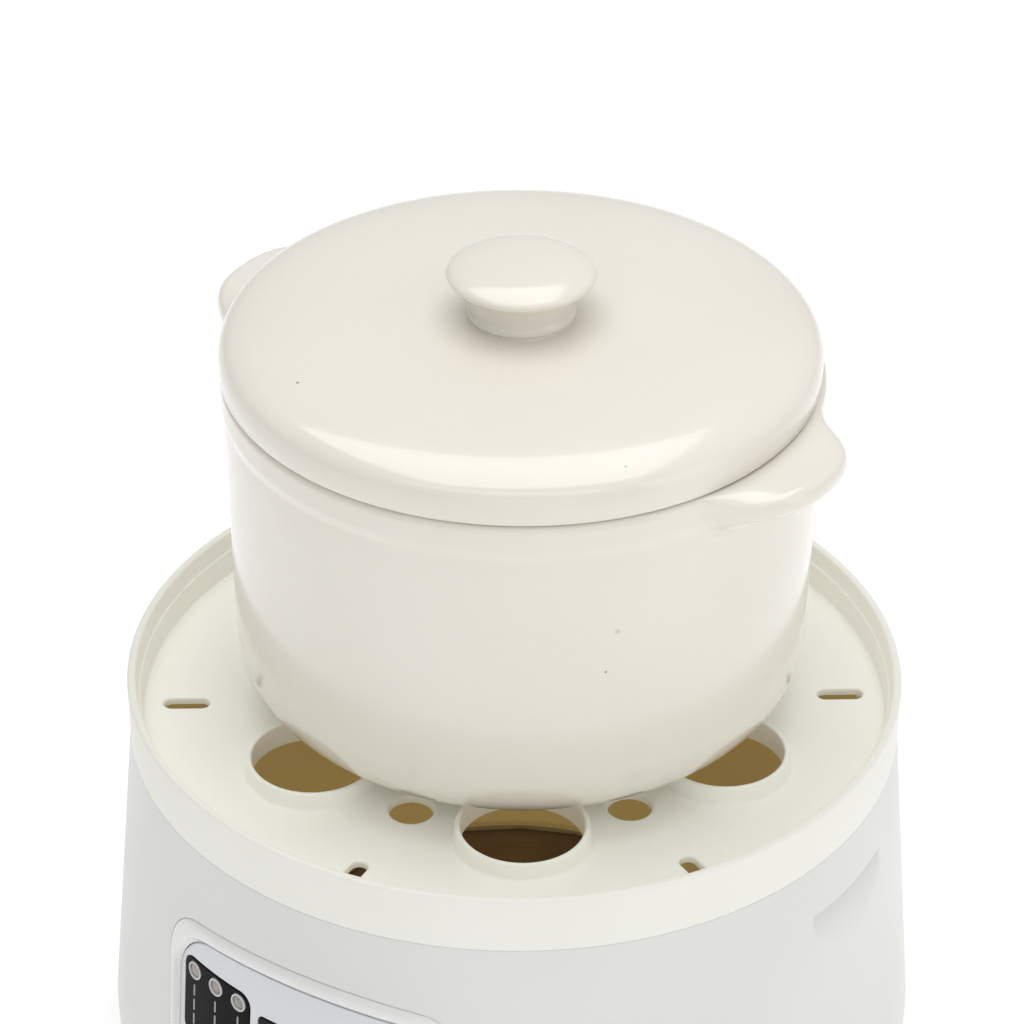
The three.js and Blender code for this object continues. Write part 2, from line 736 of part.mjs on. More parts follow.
// ---------------------------------------------------------------- mains inlet and power board
function inletOutline(grow) {
  const [x, z] = [inletWidth / 2 + grow, inletTall / 2 + grow];
  return roundedRectangle(-x, x, inletHeight - z, inletHeight + z, 4);
}

function mainsInlet() {
  const [face, back] = [inletFace, inletBack];
  const [flangeX, flangeZ] = [inletWidth / 2 + inletFlange, inletTall / 2 + inletFlange];
  const wallInside = housingRadius(inletHeight - flangeZ) - housingWall;
  const flangeFace = Math.sqrt(wallInside ** 2 - flangeX ** 2) - 2 * gap;
  const flange = roundedRectangle(-flangeX, flangeX, inletHeight - flangeZ, inletHeight + flangeZ, 4);
  const [socketX, socketZ] = [inletWidth / 2 - 2.5, inletTall / 2 - 4];
  const socket = roundedRectangle(-socketX, socketX, inletHeight - socketZ, inletHeight + socketZ, 4);
  let body = sweepY(inletOutline(0), back, face).add(sweepY(flange, flangeFace - inletFlange, flangeFace));
  body = body.subtract(sweepY(socket, face - inletSocketDepth, face + 1));
  const pins = [['earth', 0, inletHeight + 3], ['live', -7, inletHeight - 2], ['neutral', 7, inletHeight - 2]];
  for (const [name, x, z] of pins) {
    body = body.subtract(box(x - 1.3, x + 1.3, back - 1, face, z - 2.3, z + 2.3));
    const pin = box(x - 1, x + 1, back - 5, face - inletSocketDepth + inletPinLength, z - 2, z + 2);
    add(`inlet_pin_${name}`, pin, materials.brass);
  }
  add('mains_inlet', body, materials.component);
}

function powerBoardAssembly() {
  const { x, halfWide, halfLong } = powerBoard;
  const top = powerBoardBottom + boardThickness;
  let board = box(x - halfWide, x + halfWide, -halfLong, halfLong, powerBoardBottom, top);
  powerPosts.forEach(([px, py], i) => {
    board = board.subtract(post(px, py, powerBoardBottom - 1, top + 1, boardScrew.shank + gap));
    const fixing = screw(boardScrew).rotate([180, 0, 0]).translate([px, py, top + gap]);
    add(`power_board_screw_${i + 1}`, fixing, materials.steel);
  });
  add('power_board', board, materials.board);
  add('relay', box(x - 8, x + 11, 2, 18, top + gap, top + gap + 15), materials.component);
  add('transformer', box(x - 9, x + 11, -20, -2, top + gap, top + gap + 13), materials.brass);
}

function innerLeads() {
  const onBoard = powerBoardBottom + boardThickness + leadRadius + 2 * gap;
  const boardEdge = powerBoard.x + powerBoard.halfWide;
  const underBoard = coverTop + leadRadius + 3;
  const elementHeight = plateBottom - gap - elementTube;
  const [endX, endY] = [-elementRadius * Math.cos(radians(15)), -elementRadius * Math.sin(radians(15))];
  const routes = {
    mains_lead: [
      [-7, inletBack - 5.5, inletHeight - 2], [-7.5, inletBack - 10, inletHeight - 3], [-20, 109, 21],
      [-45, 108, 14], [-78, 90, 13], [-103, 56, 15], [powerBoard.x + 4, powerBoard.halfLong - 6, onBoard],
    ],
    element_lead: [
      [boardEdge - 2, -10, onBoard], [-96, -11, 15.5], [-84, -13, 16],
      [-70, -12, 19], [endX - 1, endY + 4, elementHeight - 0.2], [endX - 0.15, endY + 0.6, elementHeight],
    ],
    display_lead: [
      [powerBoard.x + 6, 4 - powerBoard.halfLong, onBoard], [-106, -52, 14], [-84, -86, underBoard],
      [-50, -107, 15], [-30, -114, 26], [-25, boardBackY + leadRadius + 0.8, boardBottom + 4],
    ],
  };
  for (const [name, points] of Object.entries(routes)) {
    const curve = new THREE.CatmullRomCurve3(points.map((p) => new THREE.Vector3(...p)));
    add(name, tube(curve, leadRadius, 16, 6), materials.lead);
  }
}

// ---------------------------------------------------------------- steam tray
function trayShell() {
  const bandBottom = partingHeight + gap;
  const innerRadius = trayRimRadius - trayRimWall;
  const floorBottom = trayFloorTop - trayFloorThickness;
  const skirt = tankMouthRadius - 0.5;
  return revolve([
    [0, floorBottom], [skirt - 1.6, floorBottom], [skirt - 1.4, housingTop - 5.5], [skirt, housingTop - 5.5],
    [skirt, floorBottom], [innerRadius - 0.5, floorBottom], [innerRadius - 0.3, bandBottom],
    [housingTopRadius, bandBottom], [trayRimRadius, trayRimTop - 1.4],
    [trayRimRadius - 1.2, trayRimTop], [innerRadius + 0.8, trayRimTop],
    [innerRadius - 0.1, trayRimTop - 6.6], [innerRadius - 0.9, trayRimTop - 6.9],
    [innerRadius - 1.5, trayFloorTop], [0, trayFloorTop],
  ]);
}

const cupAngles = [0, 1, 2, 3, 4, 5].map((i) => trayTurn + 30 + 60 * i);
const steamAngles = [0, 1, 2, 3, 4, 5].map((i) => trayTurn + 60 * i);

function steamTray() {
  let tray = trayShell();
  const base = trayFloorTop - trayFloorThickness;
  const collar = revolve([
    [cupHoleRadius - 1, base + 0.5], [cupHoleRadius + collarWall + 0.8, base + 0.5],
    [cupHoleRadius + collarWall, trayFloorTop + 1], [cupHoleRadius + collarWall - 0.3, collarTop],
    [cupHoleRadius - 1, collarTop],
  ], holeFacets);
  for (const angle of cupAngles) {
    const [x, y] = fromFront(angle, cupHoleCircle);
    tray = tray.add(collar.translate([x, y, 0]));
    tray = tray.subtract(post(x, y, base - 1, collarTop + 1, cupHoleRadius, holeFacets));
  }
  const slot = roundedRectangle(
    -slotWidth / 2, slotWidth / 2, -slotCircle - slotLength / 2, -slotCircle + slotLength / 2, slotWidth / 2,
  );
  for (const angle of steamAngles) {
    const [x, y] = fromFront(angle, steamHoleCircle);
    tray = tray.subtract(post(x, y, base - 1, trayFloorTop + 1, steamHoleRadius, 12));
    tray = tray.subtract(sweepZ(slot, base - 1, trayFloorTop + 1).rotate([0, 0, angle]));
  }
  add('steam_tray', tray, materials.tray);
}

// ---------------------------------------------------------------- crock
function arcPoints(centre, radius, from, to, steps) {
  return Array.from({ length: steps + 1 }, (_, i) => {
    const a = radians(from + ((to - from) * i) / steps);
    return [centre[0] + radius * Math.cos(a), centre[1] + radius * Math.sin(a)];
  });
}

function crockBody() {
  const bead = crockTop - crockBeadHeight;
  const cornerCentre = [crockLowRadius - crockCornerRadius, crockBase + crockCornerRadius];
  const outer = [
    [0, crockBase + 1], [crockLowRadius - crockCornerRadius - crockFootInset, crockBase],
    ...arcPoints(cornerCentre, crockCornerRadius, -88, 0, 4),
    [crockRadius, bead - 2], [crockBeadRadius, bead + 0.5], [crockBeadRadius, crockTop - 1.5],
    [crockBeadRadius - 1.2, crockTop],
  ];
  const floor = crockBase + crockFloor;
  const innerCorner = crockCornerRadius - crockWall + 2;
  const innerCentre = [crockLowRadius - crockWall - innerCorner, floor + innerCorner];
  const inner = [
    [0, floor],
    ...arcPoints(innerCentre, innerCorner, -88, 0, 3),
    [crockRadius - crockWall, crockTop - 3], [crockRadius - crockWall + 1.2, crockTop],
  ];
  return revolve([...outer, ...inner.reverse()], crockFacets);
}

// Plan of one ear: a flat bump on the rim's circle that dies out at its half angle.
function earPlan() {
  const shape = new THREE.Shape();
  const root = crockRadius - crockWall / 2;
  const steps = 14;
  shape.moveTo(root * Math.cos(radians(-earHalfAngle)), root * Math.sin(radians(-earHalfAngle)));
  for (let i = 0; i <= steps; i += 1) {
    const u = -1 + (2 * i) / steps;
    const bump = (1 - Math.abs(u) ** 3) ** 2.4;
    const reach = crockBeadRadius - 0.5 + (earReach - crockBeadRadius + 0.5) * bump;
    const a = radians(earHalfAngle * u);
    shape.lineTo(reach * Math.cos(a), reach * Math.sin(a));
  }
  shape.lineTo(root * Math.cos(radians(earHalfAngle)), root * Math.sin(radians(earHalfAngle)));
  shape.closePath();
  return shape;
}

function ear() {
  const root = crockRadius - crockWall / 2 - 1;
  const profile = revolve([
    [root, crockTop - earRootThickness], [crockRadius, crockTop - earRootThickness],
    [earReach - 2, crockTop - earTipThickness], [earReach + 0.3, crockTop - earTipThickness / 2],
    [earReach - 2, crockTop - 0.2], [root, crockTop - 0.2],
  ]);
  return sweepZ(earPlan(), crockTop - earRootThickness - 1, crockTop + 1).intersect(profile);
}

function crock() {
  const lug = ear().rotate([0, 0, earTurn]);
  const whole = crockBody().add(lug).add(lug.rotate([0, 0, 180]));
  add('crock', whole.translate([crockX, crockY, 0]), materials.ceramic);
}

// ---------------------------------------------------------------- lid
function domeHeight(r, rise, reach) {
  const share = Math.min(1, r / reach);
  return rise * (1 - share ** lidRoundness) ** (1 / lidRoundness);
}

function crockLid() {
  const edge = lidBase + lidEdgeHeight;
  const domeTop = edge + lidDome;
  const shares = [0.2, 0.7, 0.88, 0.97, 1];
  const outer = shares.map((s) => [lidRadius * s, edge + domeHeight(s, lidDome, 1)]);
  const top = domeTop + knobHeight;
  const underReach = lidLipRadius - lidLipWall;
  const under = [0, 0.6, 0.86, 1].map((s) => {
    const rise = lidDome + lidEdgeHeight - lidThickness;
    return [underReach * s, lidBase + domeHeight(s, rise, 1)];
  });
  const profile = [
    [0, top], [knobRadius * 0.75, top - 1.2], [knobRadius, top - 4.6],
    [knobRadius * 0.9, top - 7], [knobNeckRadius, top - 8.6],
    ...outer,
    [lidRadius - 0.8, lidBase], [lidLipRadius, lidBase], [lidLipRadius - 0.5, lidBase - lidLipDepth],
    [underReach + 0.3, lidBase - lidLipDepth], ...under.reverse(),
  ];
  add('crock_lid', revolve(profile, crockFacets).translate([lidX, lidY, 0]), materials.ceramic);
}

// ---------------------------------------------------------------- the whole machine
outerHousing();
bottomCover();
feetAndCoverScrews();
waterTank();
heater();
controlBezel();
panelFascia();
indicatorStrips();
displayWindow();
pushButtons();
displayBoard();
mainsInlet();
powerBoardAssembly();
innerLeads();
steamTray();
crock();
crockLid();

export default group;
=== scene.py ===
import json
import math

import bmesh
import bpy
import numpy as np
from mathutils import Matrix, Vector, kdtree
from mathutils.geometry import delaunay_2d_cdt


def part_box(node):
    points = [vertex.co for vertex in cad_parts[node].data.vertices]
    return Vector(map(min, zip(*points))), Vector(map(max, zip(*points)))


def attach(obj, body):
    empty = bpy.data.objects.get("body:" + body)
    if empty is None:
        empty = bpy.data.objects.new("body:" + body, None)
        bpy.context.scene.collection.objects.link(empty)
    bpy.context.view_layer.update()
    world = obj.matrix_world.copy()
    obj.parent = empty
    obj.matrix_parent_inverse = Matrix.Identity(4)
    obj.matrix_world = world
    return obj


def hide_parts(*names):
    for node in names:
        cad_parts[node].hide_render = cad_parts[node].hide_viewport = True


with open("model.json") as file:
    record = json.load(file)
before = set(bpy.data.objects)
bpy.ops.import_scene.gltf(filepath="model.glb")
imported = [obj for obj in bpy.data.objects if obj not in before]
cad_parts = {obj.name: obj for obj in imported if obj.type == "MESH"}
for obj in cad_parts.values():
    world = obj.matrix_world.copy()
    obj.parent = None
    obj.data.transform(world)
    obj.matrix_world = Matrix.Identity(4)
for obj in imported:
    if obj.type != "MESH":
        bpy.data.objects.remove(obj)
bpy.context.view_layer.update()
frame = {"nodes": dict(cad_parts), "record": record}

MM = 0.001
TAU = 2 * math.pi
COLUMNS = 288  # round the big turned pieces


# ---------------------------------------------------------------- sizes, from the frame
def span(node):
    """Lowest and highest corners of a CAD node, in millimetres."""
    low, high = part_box(node)
    return np.array(low) / MM, np.array(high) / MM


housing_low, housing_high = span("outer_housing")
_, tray_high = span("steam_tray")
crock_low, crock_high = span("crock")
lid_low, lid_high = span("crock_lid")
_, tank_high = span("water_tank")
plate_low, plate_high = span("heating_plate")
_, cover_high = span("bottom_cover")
bezel_low, bezel_high = span("control_bezel")
fascia_low, fascia_high = span("panel_fascia")
inlet_low, inlet_high = span("mains_inlet")

gap = 0.3  # between the panel's pieces, and round the openings in the wall
panel_arch = 5.5  # fall of the panel's top edge from its middle to its sides
strip_corner = 5.0
display_corner = 2.5
panel_half = bezel_high[0]
parting = housing_high[2]
foot_height = housing_low[2]
max_radius = housing_high[0]
max_height = foot_height + 24.0
bottom_radius = max_radius - 4.5
rim_radius = tray_high[0]
top_radius = rim_radius - 0.5
rim_top = tray_high[2]
wall = 3.0

crock_centre = (crock_low + crock_high) / 2
crock_base = crock_low[2]
crock_top = crock_high[2]
bead_radius = (crock_high[1] - crock_low[1]) / 2
crock_radius = bead_radius - 1.1
ear_length = (crock_high[0] - crock_low[0]) / 2 - bead_radius
ear_turn = -3.0  # degrees from the X axis
lid_centre = (lid_low + lid_high) / 2
lid_radius = (lid_high[0] - lid_low[0]) / 2


# ---------------------------------------------------------------- outlines
def arc(centre, radius, start, end, steps):
    """Points of an arc, its angles in degrees."""
    angles = np.radians(np.linspace(start, end, steps + 1))
    return [(centre[0] + radius * math.cos(a), centre[1] + radius * math.sin(a)) for a in angles]


def rounded(corners, closed=True, step=15):
    """A profile through corners (x, y) or (x, y, fillet), with an arc at each corner that has a fillet."""
    points = []
    count = len(corners)
    for i, corner in enumerate(corners):
        here = np.array(corner[:2], float)
        fillet = corner[2] if len(corner) > 2 else 0
        if fillet == 0 or (not closed and i in (0, count - 1)):
            points.append(tuple(here))
            continue
        before = np.array(corners[i - 1][:2], float) - here
        after = np.array(corners[(i + 1) % count][:2], float) - here
        reach = [np.linalg.norm(before), np.linalg.norm(after)]
        before, after = before / reach[0], after / reach[1]
        half = math.acos(max(-1, min(1, float(before @ after)))) / 2
        trim = min(fillet / math.tan(half), 0.48 * min(reach))
        radius = trim * math.tan(half)
        centre = here + (before + after) / np.linalg.norm(before + after) * radius / math.sin(half)
        first, last = here + before * trim - centre, here + after * trim - centre
        turn = math.pi - 2 * half
        side = 1 if first[0] * last[1] - first[1] * last[0] > 0 else -1
        steps = max(1, round(math.degrees(turn) / step))
        for k in range(steps + 1):
            a = side * turn * k / steps
            c, s = math.cos(a), math.sin(a)
            points.append(tuple(centre + (first[0] * c - first[1] * s, first[0] * s + first[1] * c)))
    return points


def round_rectangle(x0, x1, z0, z1, corner, spacing=2.5, steps=10):
    """An outline function: outline(grow) gives the rectangle's points, moved out by `grow`."""
    counts = [max(2, round((z1 - z0) / spacing)), max(2, round((x1 - x0) / spacing))]

    def outline(grow=0.0):
        c = max(corner + grow, 0.05)
        left, right, low, high = x0 - grow + c, x1 + grow - c, z0 - grow + c, z1 + grow - c
        centres = [(right, low, -90), (right, high, 0), (left, high, 90), (left, low, 180)]
        points = []
        for i, (x, z, start) in enumerate(centres):
            corner_points = arc((x, z), c, start, start + 90, steps)
            points += corner_points
            end = np.array(corner_points[-1])
            x2, z2, start2 = centres[(i + 1) % 4]
            goal = np.array(arc((x2, z2), c, start2, start2 + 90, 1)[0])
            n = counts[i % 2]
            points += [tuple(end + (goal - end) * k / n) for k in range(1, n)]
        return np.array(points)

    return outline


def arched_rectangle(half, low, high, top_corner, low_corner, counts=(34, 60), steps=14):
    """An outline function of a rounded rectangle whose top edge is arched, highest in the middle."""

    def outline(grow=0.0):
        x, z0, z1 = half + grow, low - grow, high + grow
        upper, lower = top_corner + grow, low_corner + grow
        fall = panel_arch * (x / panel_half) ** 2
        side = np.linspace(z0 + lower, z1 - upper - fall, counts[0] + 1)[1:-1]
        top = np.linspace(x - upper, upper - x, counts[1] + 1)[1:-1]
        bottom = np.linspace(lower - x, x - lower, counts[1] + 1)[1:-1]
        points = arc((x - lower, z0 + lower), lower, -90, 0, steps)
        points += [(x, z) for z in side]
        points += arc((x - upper, z1 - upper), upper, 0, 90, steps)
        points += [(at, z1) for at in top]
        points += arc((upper - x, z1 - upper), upper, 90, 180, steps)
        points += [(-x, z) for z in side[::-1]]
        points += arc((lower - x, z0 + lower), lower, 180, 270, steps)
        points += [(at, z0) for at in bottom]
        points = np.array(points)
        points[:, 1] -= panel_arch * (points[:, 0] / panel_half) ** 2 * (points[:, 1] > z1 - upper - 0.01)
        return points

    return outline


def circle(x, y, radius, count):
    def outline(grow=0.0):
        a = np.linspace(0, TAU, count, endpoint=False)
        return np.stack([x + (radius + grow) * np.cos(a), y + (radius + grow) * np.sin(a)], 1)

    return outline


def turned_outline(outline, degrees):
    """The same outline, turned about the origin."""
    c, s = math.cos(math.radians(degrees)), math.sin(math.radians(degrees))
    matrix = np.array([[c, s], [-s, c]])
    return lambda grow=0.0: outline(grow) @ matrix


# ---------------------------------------------------------------- mesh building
class Shell:
    """Points and faces of one piece, gathered ring by ring."""

    def __init__(self):
        self.points = []
        self.faces = []

    def ring(self, points):
        start = len(self.points)
        self.points.extend(tuple(p) for p in np.asarray(points, float))
        return list(range(start, len(self.points)))

    def strip(self, a, b):
        """Faces between two closed rings."""
        n = len(a)
        self.faces += [(a[i], a[(i + 1) % n], b[(i + 1) % n], b[i]) for i in range(n)]

    def fan(self, ring, tip):
        n = len(ring)
        self.faces += [(ring[i], ring[(i + 1) % n], tip) for i in range(n)]

    def turn(self, profile, closed=True, columns=COLUMNS, centre=(0, 0), shape=None):
        """A profile of (radius, height) turned about the upright line through centre."""
        angles = np.linspace(0, TAU, columns, endpoint=False)
        rings = []
        for k, (r, z) in enumerate(profile):
            if r < 1e-6:
                rings.append(self.ring([(centre[0], centre[1], z)])[0])
                continue
            radii = np.full(columns, r)
            heights = np.full(columns, z)
            if shape:
                radii, heights = shape(k, angles, radii, heights)
            x = centre[0] + radii * np.cos(angles)
            y = centre[1] + radii * np.sin(angles)
            rings.append(self.ring(np.stack([x, y, heights], 1)))
        pairs = list(zip(rings, rings[1:]))
        if closed:
            pairs.append((rings[-1], rings[0]))
        for a, b in pairs:
            if isinstance(a, int) and isinstance(b, int):
                continue
            if isinstance(a, int):
                self.fan(b, a)
            elif isinstance(b, int):
                self.fan(a, b)
            else:
                self.strip(a, b)
        return self

    def fill(self, rings, loops, inner, place):
        """Faces between closed rings, the first outside and the rest holes; loops are the same rings, flat.
        inner holds flat points of the surface between them, and place gives where they lie."""
        flat = np.vstack([*loops, inner]) if len(inner) else np.vstack(loops)
        ids = [i for ring in rings for i in ring]
        if len(inner):
            ids += self.ring(place(inner[:, 0], inner[:, 1]))
        edges, start = [], 0
        for loop in loops:
            n = len(loop)
            edges += [(start + i, start + (i + 1) % n) for i in range(n)]
            start += n
        corners, _, faces, source, _, _ = delaunay_2d_cdt([Vector(p) for p in flat], edges, [], 0, 1e-7)
        corners = np.array([tuple(c) for c in corners])
        faces = np.array([f for f in faces if len(f) == 3])
        middle = corners[faces].mean(1)
        keep = inside(middle, loops[0])
        for loop in loops[1:]:
            keep &= ~inside(middle, loop)
        for face in faces[keep]:
            self.faces.append(tuple(ids[source[c][0]] for c in face))

    def plate(self, borders, face, back, face_points=(), back_points=()):
        """A closed piece: a face and a back, joined by the rings over each border."""
        joined = []
        for border in borders:
            rings = [self.ring(ring) for ring in border["rings"]]
            for a, b in zip(rings, rings[1:]):
                self.strip(a, b)
            joined.append(rings)
        loops = [border["face"] for border in borders]
        self.fill([rings[0] for rings in joined], loops, clear_of(face_points, loops), face)
        through = [i for i, border in enumerate(borders) if not border.get("pocket")]
        loops = [borders[i]["back"] for i in through]
        self.fill([joined[i][-1] for i in through], loops, clear_of(back_points, loops), back)
        for i, border in enumerate(borders):
            if border.get("pocket"):
                self.fill([joined[i][-1]], [border["back"]], [], None)
        return self


def inside(points, loop):
    """Which points lie inside a closed loop."""
    x, y = points[:, 0], points[:, 1]
    result = np.zeros(len(points), bool)
    low, high = loop.min(0), loop.max(0)
    near = np.nonzero((x >= low[0]) & (x <= high[0]) & (y >= low[1]) & (y <= high[1]))[0]
    px, py = x[near], y[near]
    odd = np.zeros(len(near), bool)
    for (x0, y0), (x1, y1) in zip(loop, np.roll(loop, -1, 0)):
        if y0 == y1:
            continue
        crosses = ((y0 > py) != (y1 > py)) & (px < (x1 - x0) * (py - y0) / (y1 - y0) + x0)
        odd ^= crosses
    result[near] = odd
    return result


def clear_of(points, loops, share=0.55):
    """The points inside the first loop and outside the rest, less those almost on a loop."""
    points = np.asarray(points, float).reshape(-1, 2)
    if not len(points):
        return points
    keep = inside(points, loops[0])
    for loop in loops[1:]:
        keep &= ~inside(points, loop)
    points = points[keep]
    edge = np.vstack(loops)
    steps = np.concatenate([np.linalg.norm(np.roll(loop, -1, 0) - loop, axis=1) for loop in loops])
    tree = kdtree.KDTree(len(edge))
    for i, (x, y) in enumerate(edge):
        tree.insert((x, y, 0), i)
    tree.balance()
    far = []
    for x, y in points:
        _, i, distance = tree.find((x, y, 0))
        far.append(distance > max(share * steps[i], 0.1))
    return points[np.array(far, bool)]


def edge_of(outline, profile, place, pocket=False):
    """A plate's border: its outline on the face, the rings of `profile` [(grow, depth)...] over the edge,
    and its outline on the back."""
    loops = [outline(grow) for grow, _ in profile]
    rings = [place(loop[:, 0], loop[:, 1], depth) for loop, (_, depth) in zip(loops, profile)]
    return {"face": loops[0], "rings": rings, "back": loops[-1], "pocket": pocket}


def softened(radius, face, back, outside=True, support=0.5, steps=4):
    """Profile over a border: from the face, round an edge of that radius, straight to the back.
    Depths rise towards the face. `outside` is False for a hole."""
    sign = -1 if outside else 1
    points = [(sign * (radius + support), face)]
    for k in range(steps + 1):
        a = math.radians(90 * k / steps)
        points.append((sign * radius * (1 - math.sin(a)), face - radius * (1 - math.cos(a))))
    points.append((0.0, back))
    return points


def grid(x0, x1, y0, y1, spacing):
    x = np.arange(x0 + spacing / 2, x1, spacing)
    y = np.arange(y0 + spacing / 2, y1, spacing)
    return np.stack(np.meshgrid(x, y), -1).reshape(-1, 2)


def piece(name, shell, body, slot, replaces=(), material=None, crease=38):
    """Makes a shell into an object that rides on a body and stands for CAD nodes. It has the slot's finish,
    unless another material is given."""
    mesh = bpy.data.meshes.new(name)
    mesh.from_pydata([tuple(c * MM for c in p) for p in shell.points], [], shell.faces)
    work = bmesh.new()
    work.from_mesh(mesh)
    bmesh.ops.remove_doubles(work, verts=work.verts, dist=1e-7)
    bmesh.ops.recalc_face_normals(work, faces=work.faces)
    work.to_mesh(mesh)
    work.free()
    mesh.shade_smooth()
    mesh.set_sharp_from_angle(angle=math.radians(crease))
    mesh.materials.append(material or finishes[slot])
    obj = bpy.data.objects.new(name, mesh)
    bpy.context.scene.collection.objects.link(obj)
    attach(obj, body)
    if replaces:
        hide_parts(*replaces)
    return obj


# ---------------------------------------------------------------- materials
class Finish:
    """A Principled material with a few procedural layers, in the piece's own coordinates."""

    def __init__(self, name, **sockets):
        self.material = bpy.data.materials.new(name)
        self.material.use_nodes = True
        self.tree = self.material.node_tree
        self.shader = self.tree.nodes["Principled BSDF"]
        for socket, value in sockets.items():
            self.shader.inputs[socket.replace("_", " ")].default_value = value
        self.place = self.node("ShaderNodeTexCoord").outputs["Object"]
        self.normal = None

    def node(self, kind, inputs=None, **settings):
        made = self.tree.nodes.new(kind)
        for key, value in settings.items():
            setattr(made, key, value)
        for key, value in (inputs or {}).items():
            if isinstance(value, bpy.types.NodeSocket):
                self.tree.links.new(value, made.inputs[key])
            else:
                made.inputs[key].default_value = value
        return made

    def noise(self, scale, detail=3.0, stretch=None):
        place = self.place
        if stretch:
            place = self.node("ShaderNodeMapping", {"Vector": place, "Scale": stretch}).outputs["Vector"]
        made = self.node("ShaderNodeTexNoise", {"Vector": place, "Scale": scale, "Detail": detail})
        return made.outputs["Fac"]

    def ramp(self, value, stops):
        made = self.node("ShaderNodeValToRGB", {"Fac": value})
        elements = made.color_ramp.elements
        while len(elements) < len(stops):
            elements.new(0.5)
        for element, (position, colour) in zip(elements, stops):
            element.position = position
            element.color = colour
        return made.outputs["Color"]

    def spread(self, value, low, high, out_low, out_high):
        """A value from low to high, mapped to a new range."""
        limits = {"From Min": low, "From Max": high, "To Min": out_low, "To Max": out_high}
        return self.node("ShaderNodeMapRange", {"Value": value, **limits}).outputs["Result"]

    def mix(self, factor, a, b):
        made = self.node("ShaderNodeMix", data_type="RGBA")
        for key, value in ((0, factor), (6, a), (7, b)):
            if isinstance(value, bpy.types.NodeSocket):
                self.tree.links.new(value, made.inputs[key])
            else:
                made.inputs[key].default_value = value
        return made.outputs[2]

    def colour(self, output):
        self.tree.links.new(output, self.shader.inputs["Base Color"])

    def mottled(self, a, b, scale=18.0, low=0.25, high=0.75):
        """Base colour that drifts between two near tints."""
        return self.ramp(self.noise(scale, 1.0), [(low, linear(a)), (high, linear(b))])

    def rough(self, low, high, scale=60.0):
        value = self.spread(self.noise(scale, 1.0), 0.2, 0.8, low, high)
        self.tree.links.new(value, self.shader.inputs["Roughness"])

    def bump(self, height, distance, strength=0.3):
        """Adds a relief `distance` millimetres high."""
        inputs = {"Height": height, "Distance": distance * MM, "Strength": strength}
        if self.normal:
            inputs["Normal"] = self.normal
        self.normal = self.node("ShaderNodeBump", inputs).outputs["Normal"]
        self.tree.links.new(self.normal, self.shader.inputs["Normal"])

    def specks(self, base, tint, scale=45.0, size=0.035, share=0.12):
        """Scattered small spots: a few cells of a cell pattern get a spot at their centre."""
        cells = self.node("ShaderNodeTexVoronoi", {"Vector": self.place, "Scale": scale, "Randomness": 1.0})
        spot = self.spread(cells.outputs["Distance"], size, size * 0.4, 0.0, 1.0)
        chosen = self.node("ShaderNodeSeparateColor", {"Color": cells.outputs["Color"]}).outputs["Red"]
        picked = self.node("ShaderNodeMath", {0: chosen, 1: share}, operation="LESS_THAN").outputs[0]
        factor = self.node("ShaderNodeMath", {0: spot, 1: picked}, operation="MULTIPLY").outputs[0]
        return self.mix(factor, base, linear(tint))


def linear(colour):
    """Linear RGBA of an sRGB colour from 0 to 255."""
    parts = [c / 255 for c in colour]
    return (*[c / 12.92 if c <= 0.04045 else ((c + 0.055) / 1.055) ** 2.4 for c in parts], 1.0)


def plastic(name, tint, shade, low, high, grain=260.0, relief=0.012, **sockets):
    """Moulded plastic: faint drift in colour, uneven gloss, slight sink and, if asked for, a fine grain."""
    finish = Finish(name, **sockets)
    finish.colour(finish.mottled(tint, shade, 14.0))
    finish.rough(low, high, 16.0)
    finish.bump(finish.noise(9.0, 0.0), 0.2, 0.06)
    if grain:
        finish.bump(finish.noise(grain, 1.0), relief, 0.06)
    return finish


def ceramic_glaze():
    """Cream stoneware under a clear glaze: pooled tone, pin-head specks and a soft waviness."""
    finish = Finish("ceramic_glaze", Coat_Weight=0.55, Coat_Roughness=0.03, Coat_IOR=1.5,
                    Subsurface_Weight=0.06, Subsurface_Scale=0.004)
    base = finish.mottled((237, 233, 224), (232, 227, 215), 11.0)
    fine = finish.specks(base, (150, 120, 84), 70.0, 0.05, 0.018)
    wide = finish.specks(fine, (190, 168, 140), 40.0, 0.07, 0.02)
    finish.colour(wide)
    finish.rough(0.14, 0.24, 35.0)
    finish.bump(finish.noise(14.0, 2.0), 0.25, 0.10)
    finish.bump(finish.noise(220.0, 2.0), 0.02, 0.10)
    return finish.material


def housing_plastic():
    return plastic("housing_plastic", (227, 227, 224), (223, 223, 219), 0.29, 0.38, grain=None).material


def bezel_plastic():
    return plastic("bezel_plastic", (236, 236, 234), (232, 232, 230), 0.12, 0.2, grain=None,
                   Coat_Weight=0.3, Coat_Roughness=0.08).material


def fascia_plastic():
    return plastic("fascia_plastic", (224, 226, 229), (220, 222, 226), 0.34, 0.44, grain=None).material


def black_gloss():
    return plastic("black_gloss", (9, 8, 8), (13, 11, 11), 0.3, 0.4, grain=None,
                   Specular_IOR_Level=0.07).material


def lamp_plastic():
    """Milky lens with a fine drift in colour."""
    finish = Finish("lamp_plastic", Subsurface_Weight=0.25, Subsurface_Scale=0.002, Coat_Weight=0.4)
    finish.colour(finish.mottled((196, 178, 172), (164, 150, 142), 900.0))
    finish.rough(0.15, 0.3, 400.0)
    finish.bump(finish.noise(1600.0, 2.0), 0.02, 0.3)
    return finish.material


def ring_plastic():
    return plastic("ring_plastic", (214, 214, 216), (204, 204, 207), 0.29, 0.37).material


def button_plastic():
    return plastic("button_plastic", (232, 233, 234), (226, 227, 229), 0.28, 0.36, 300.0, 0.008).material


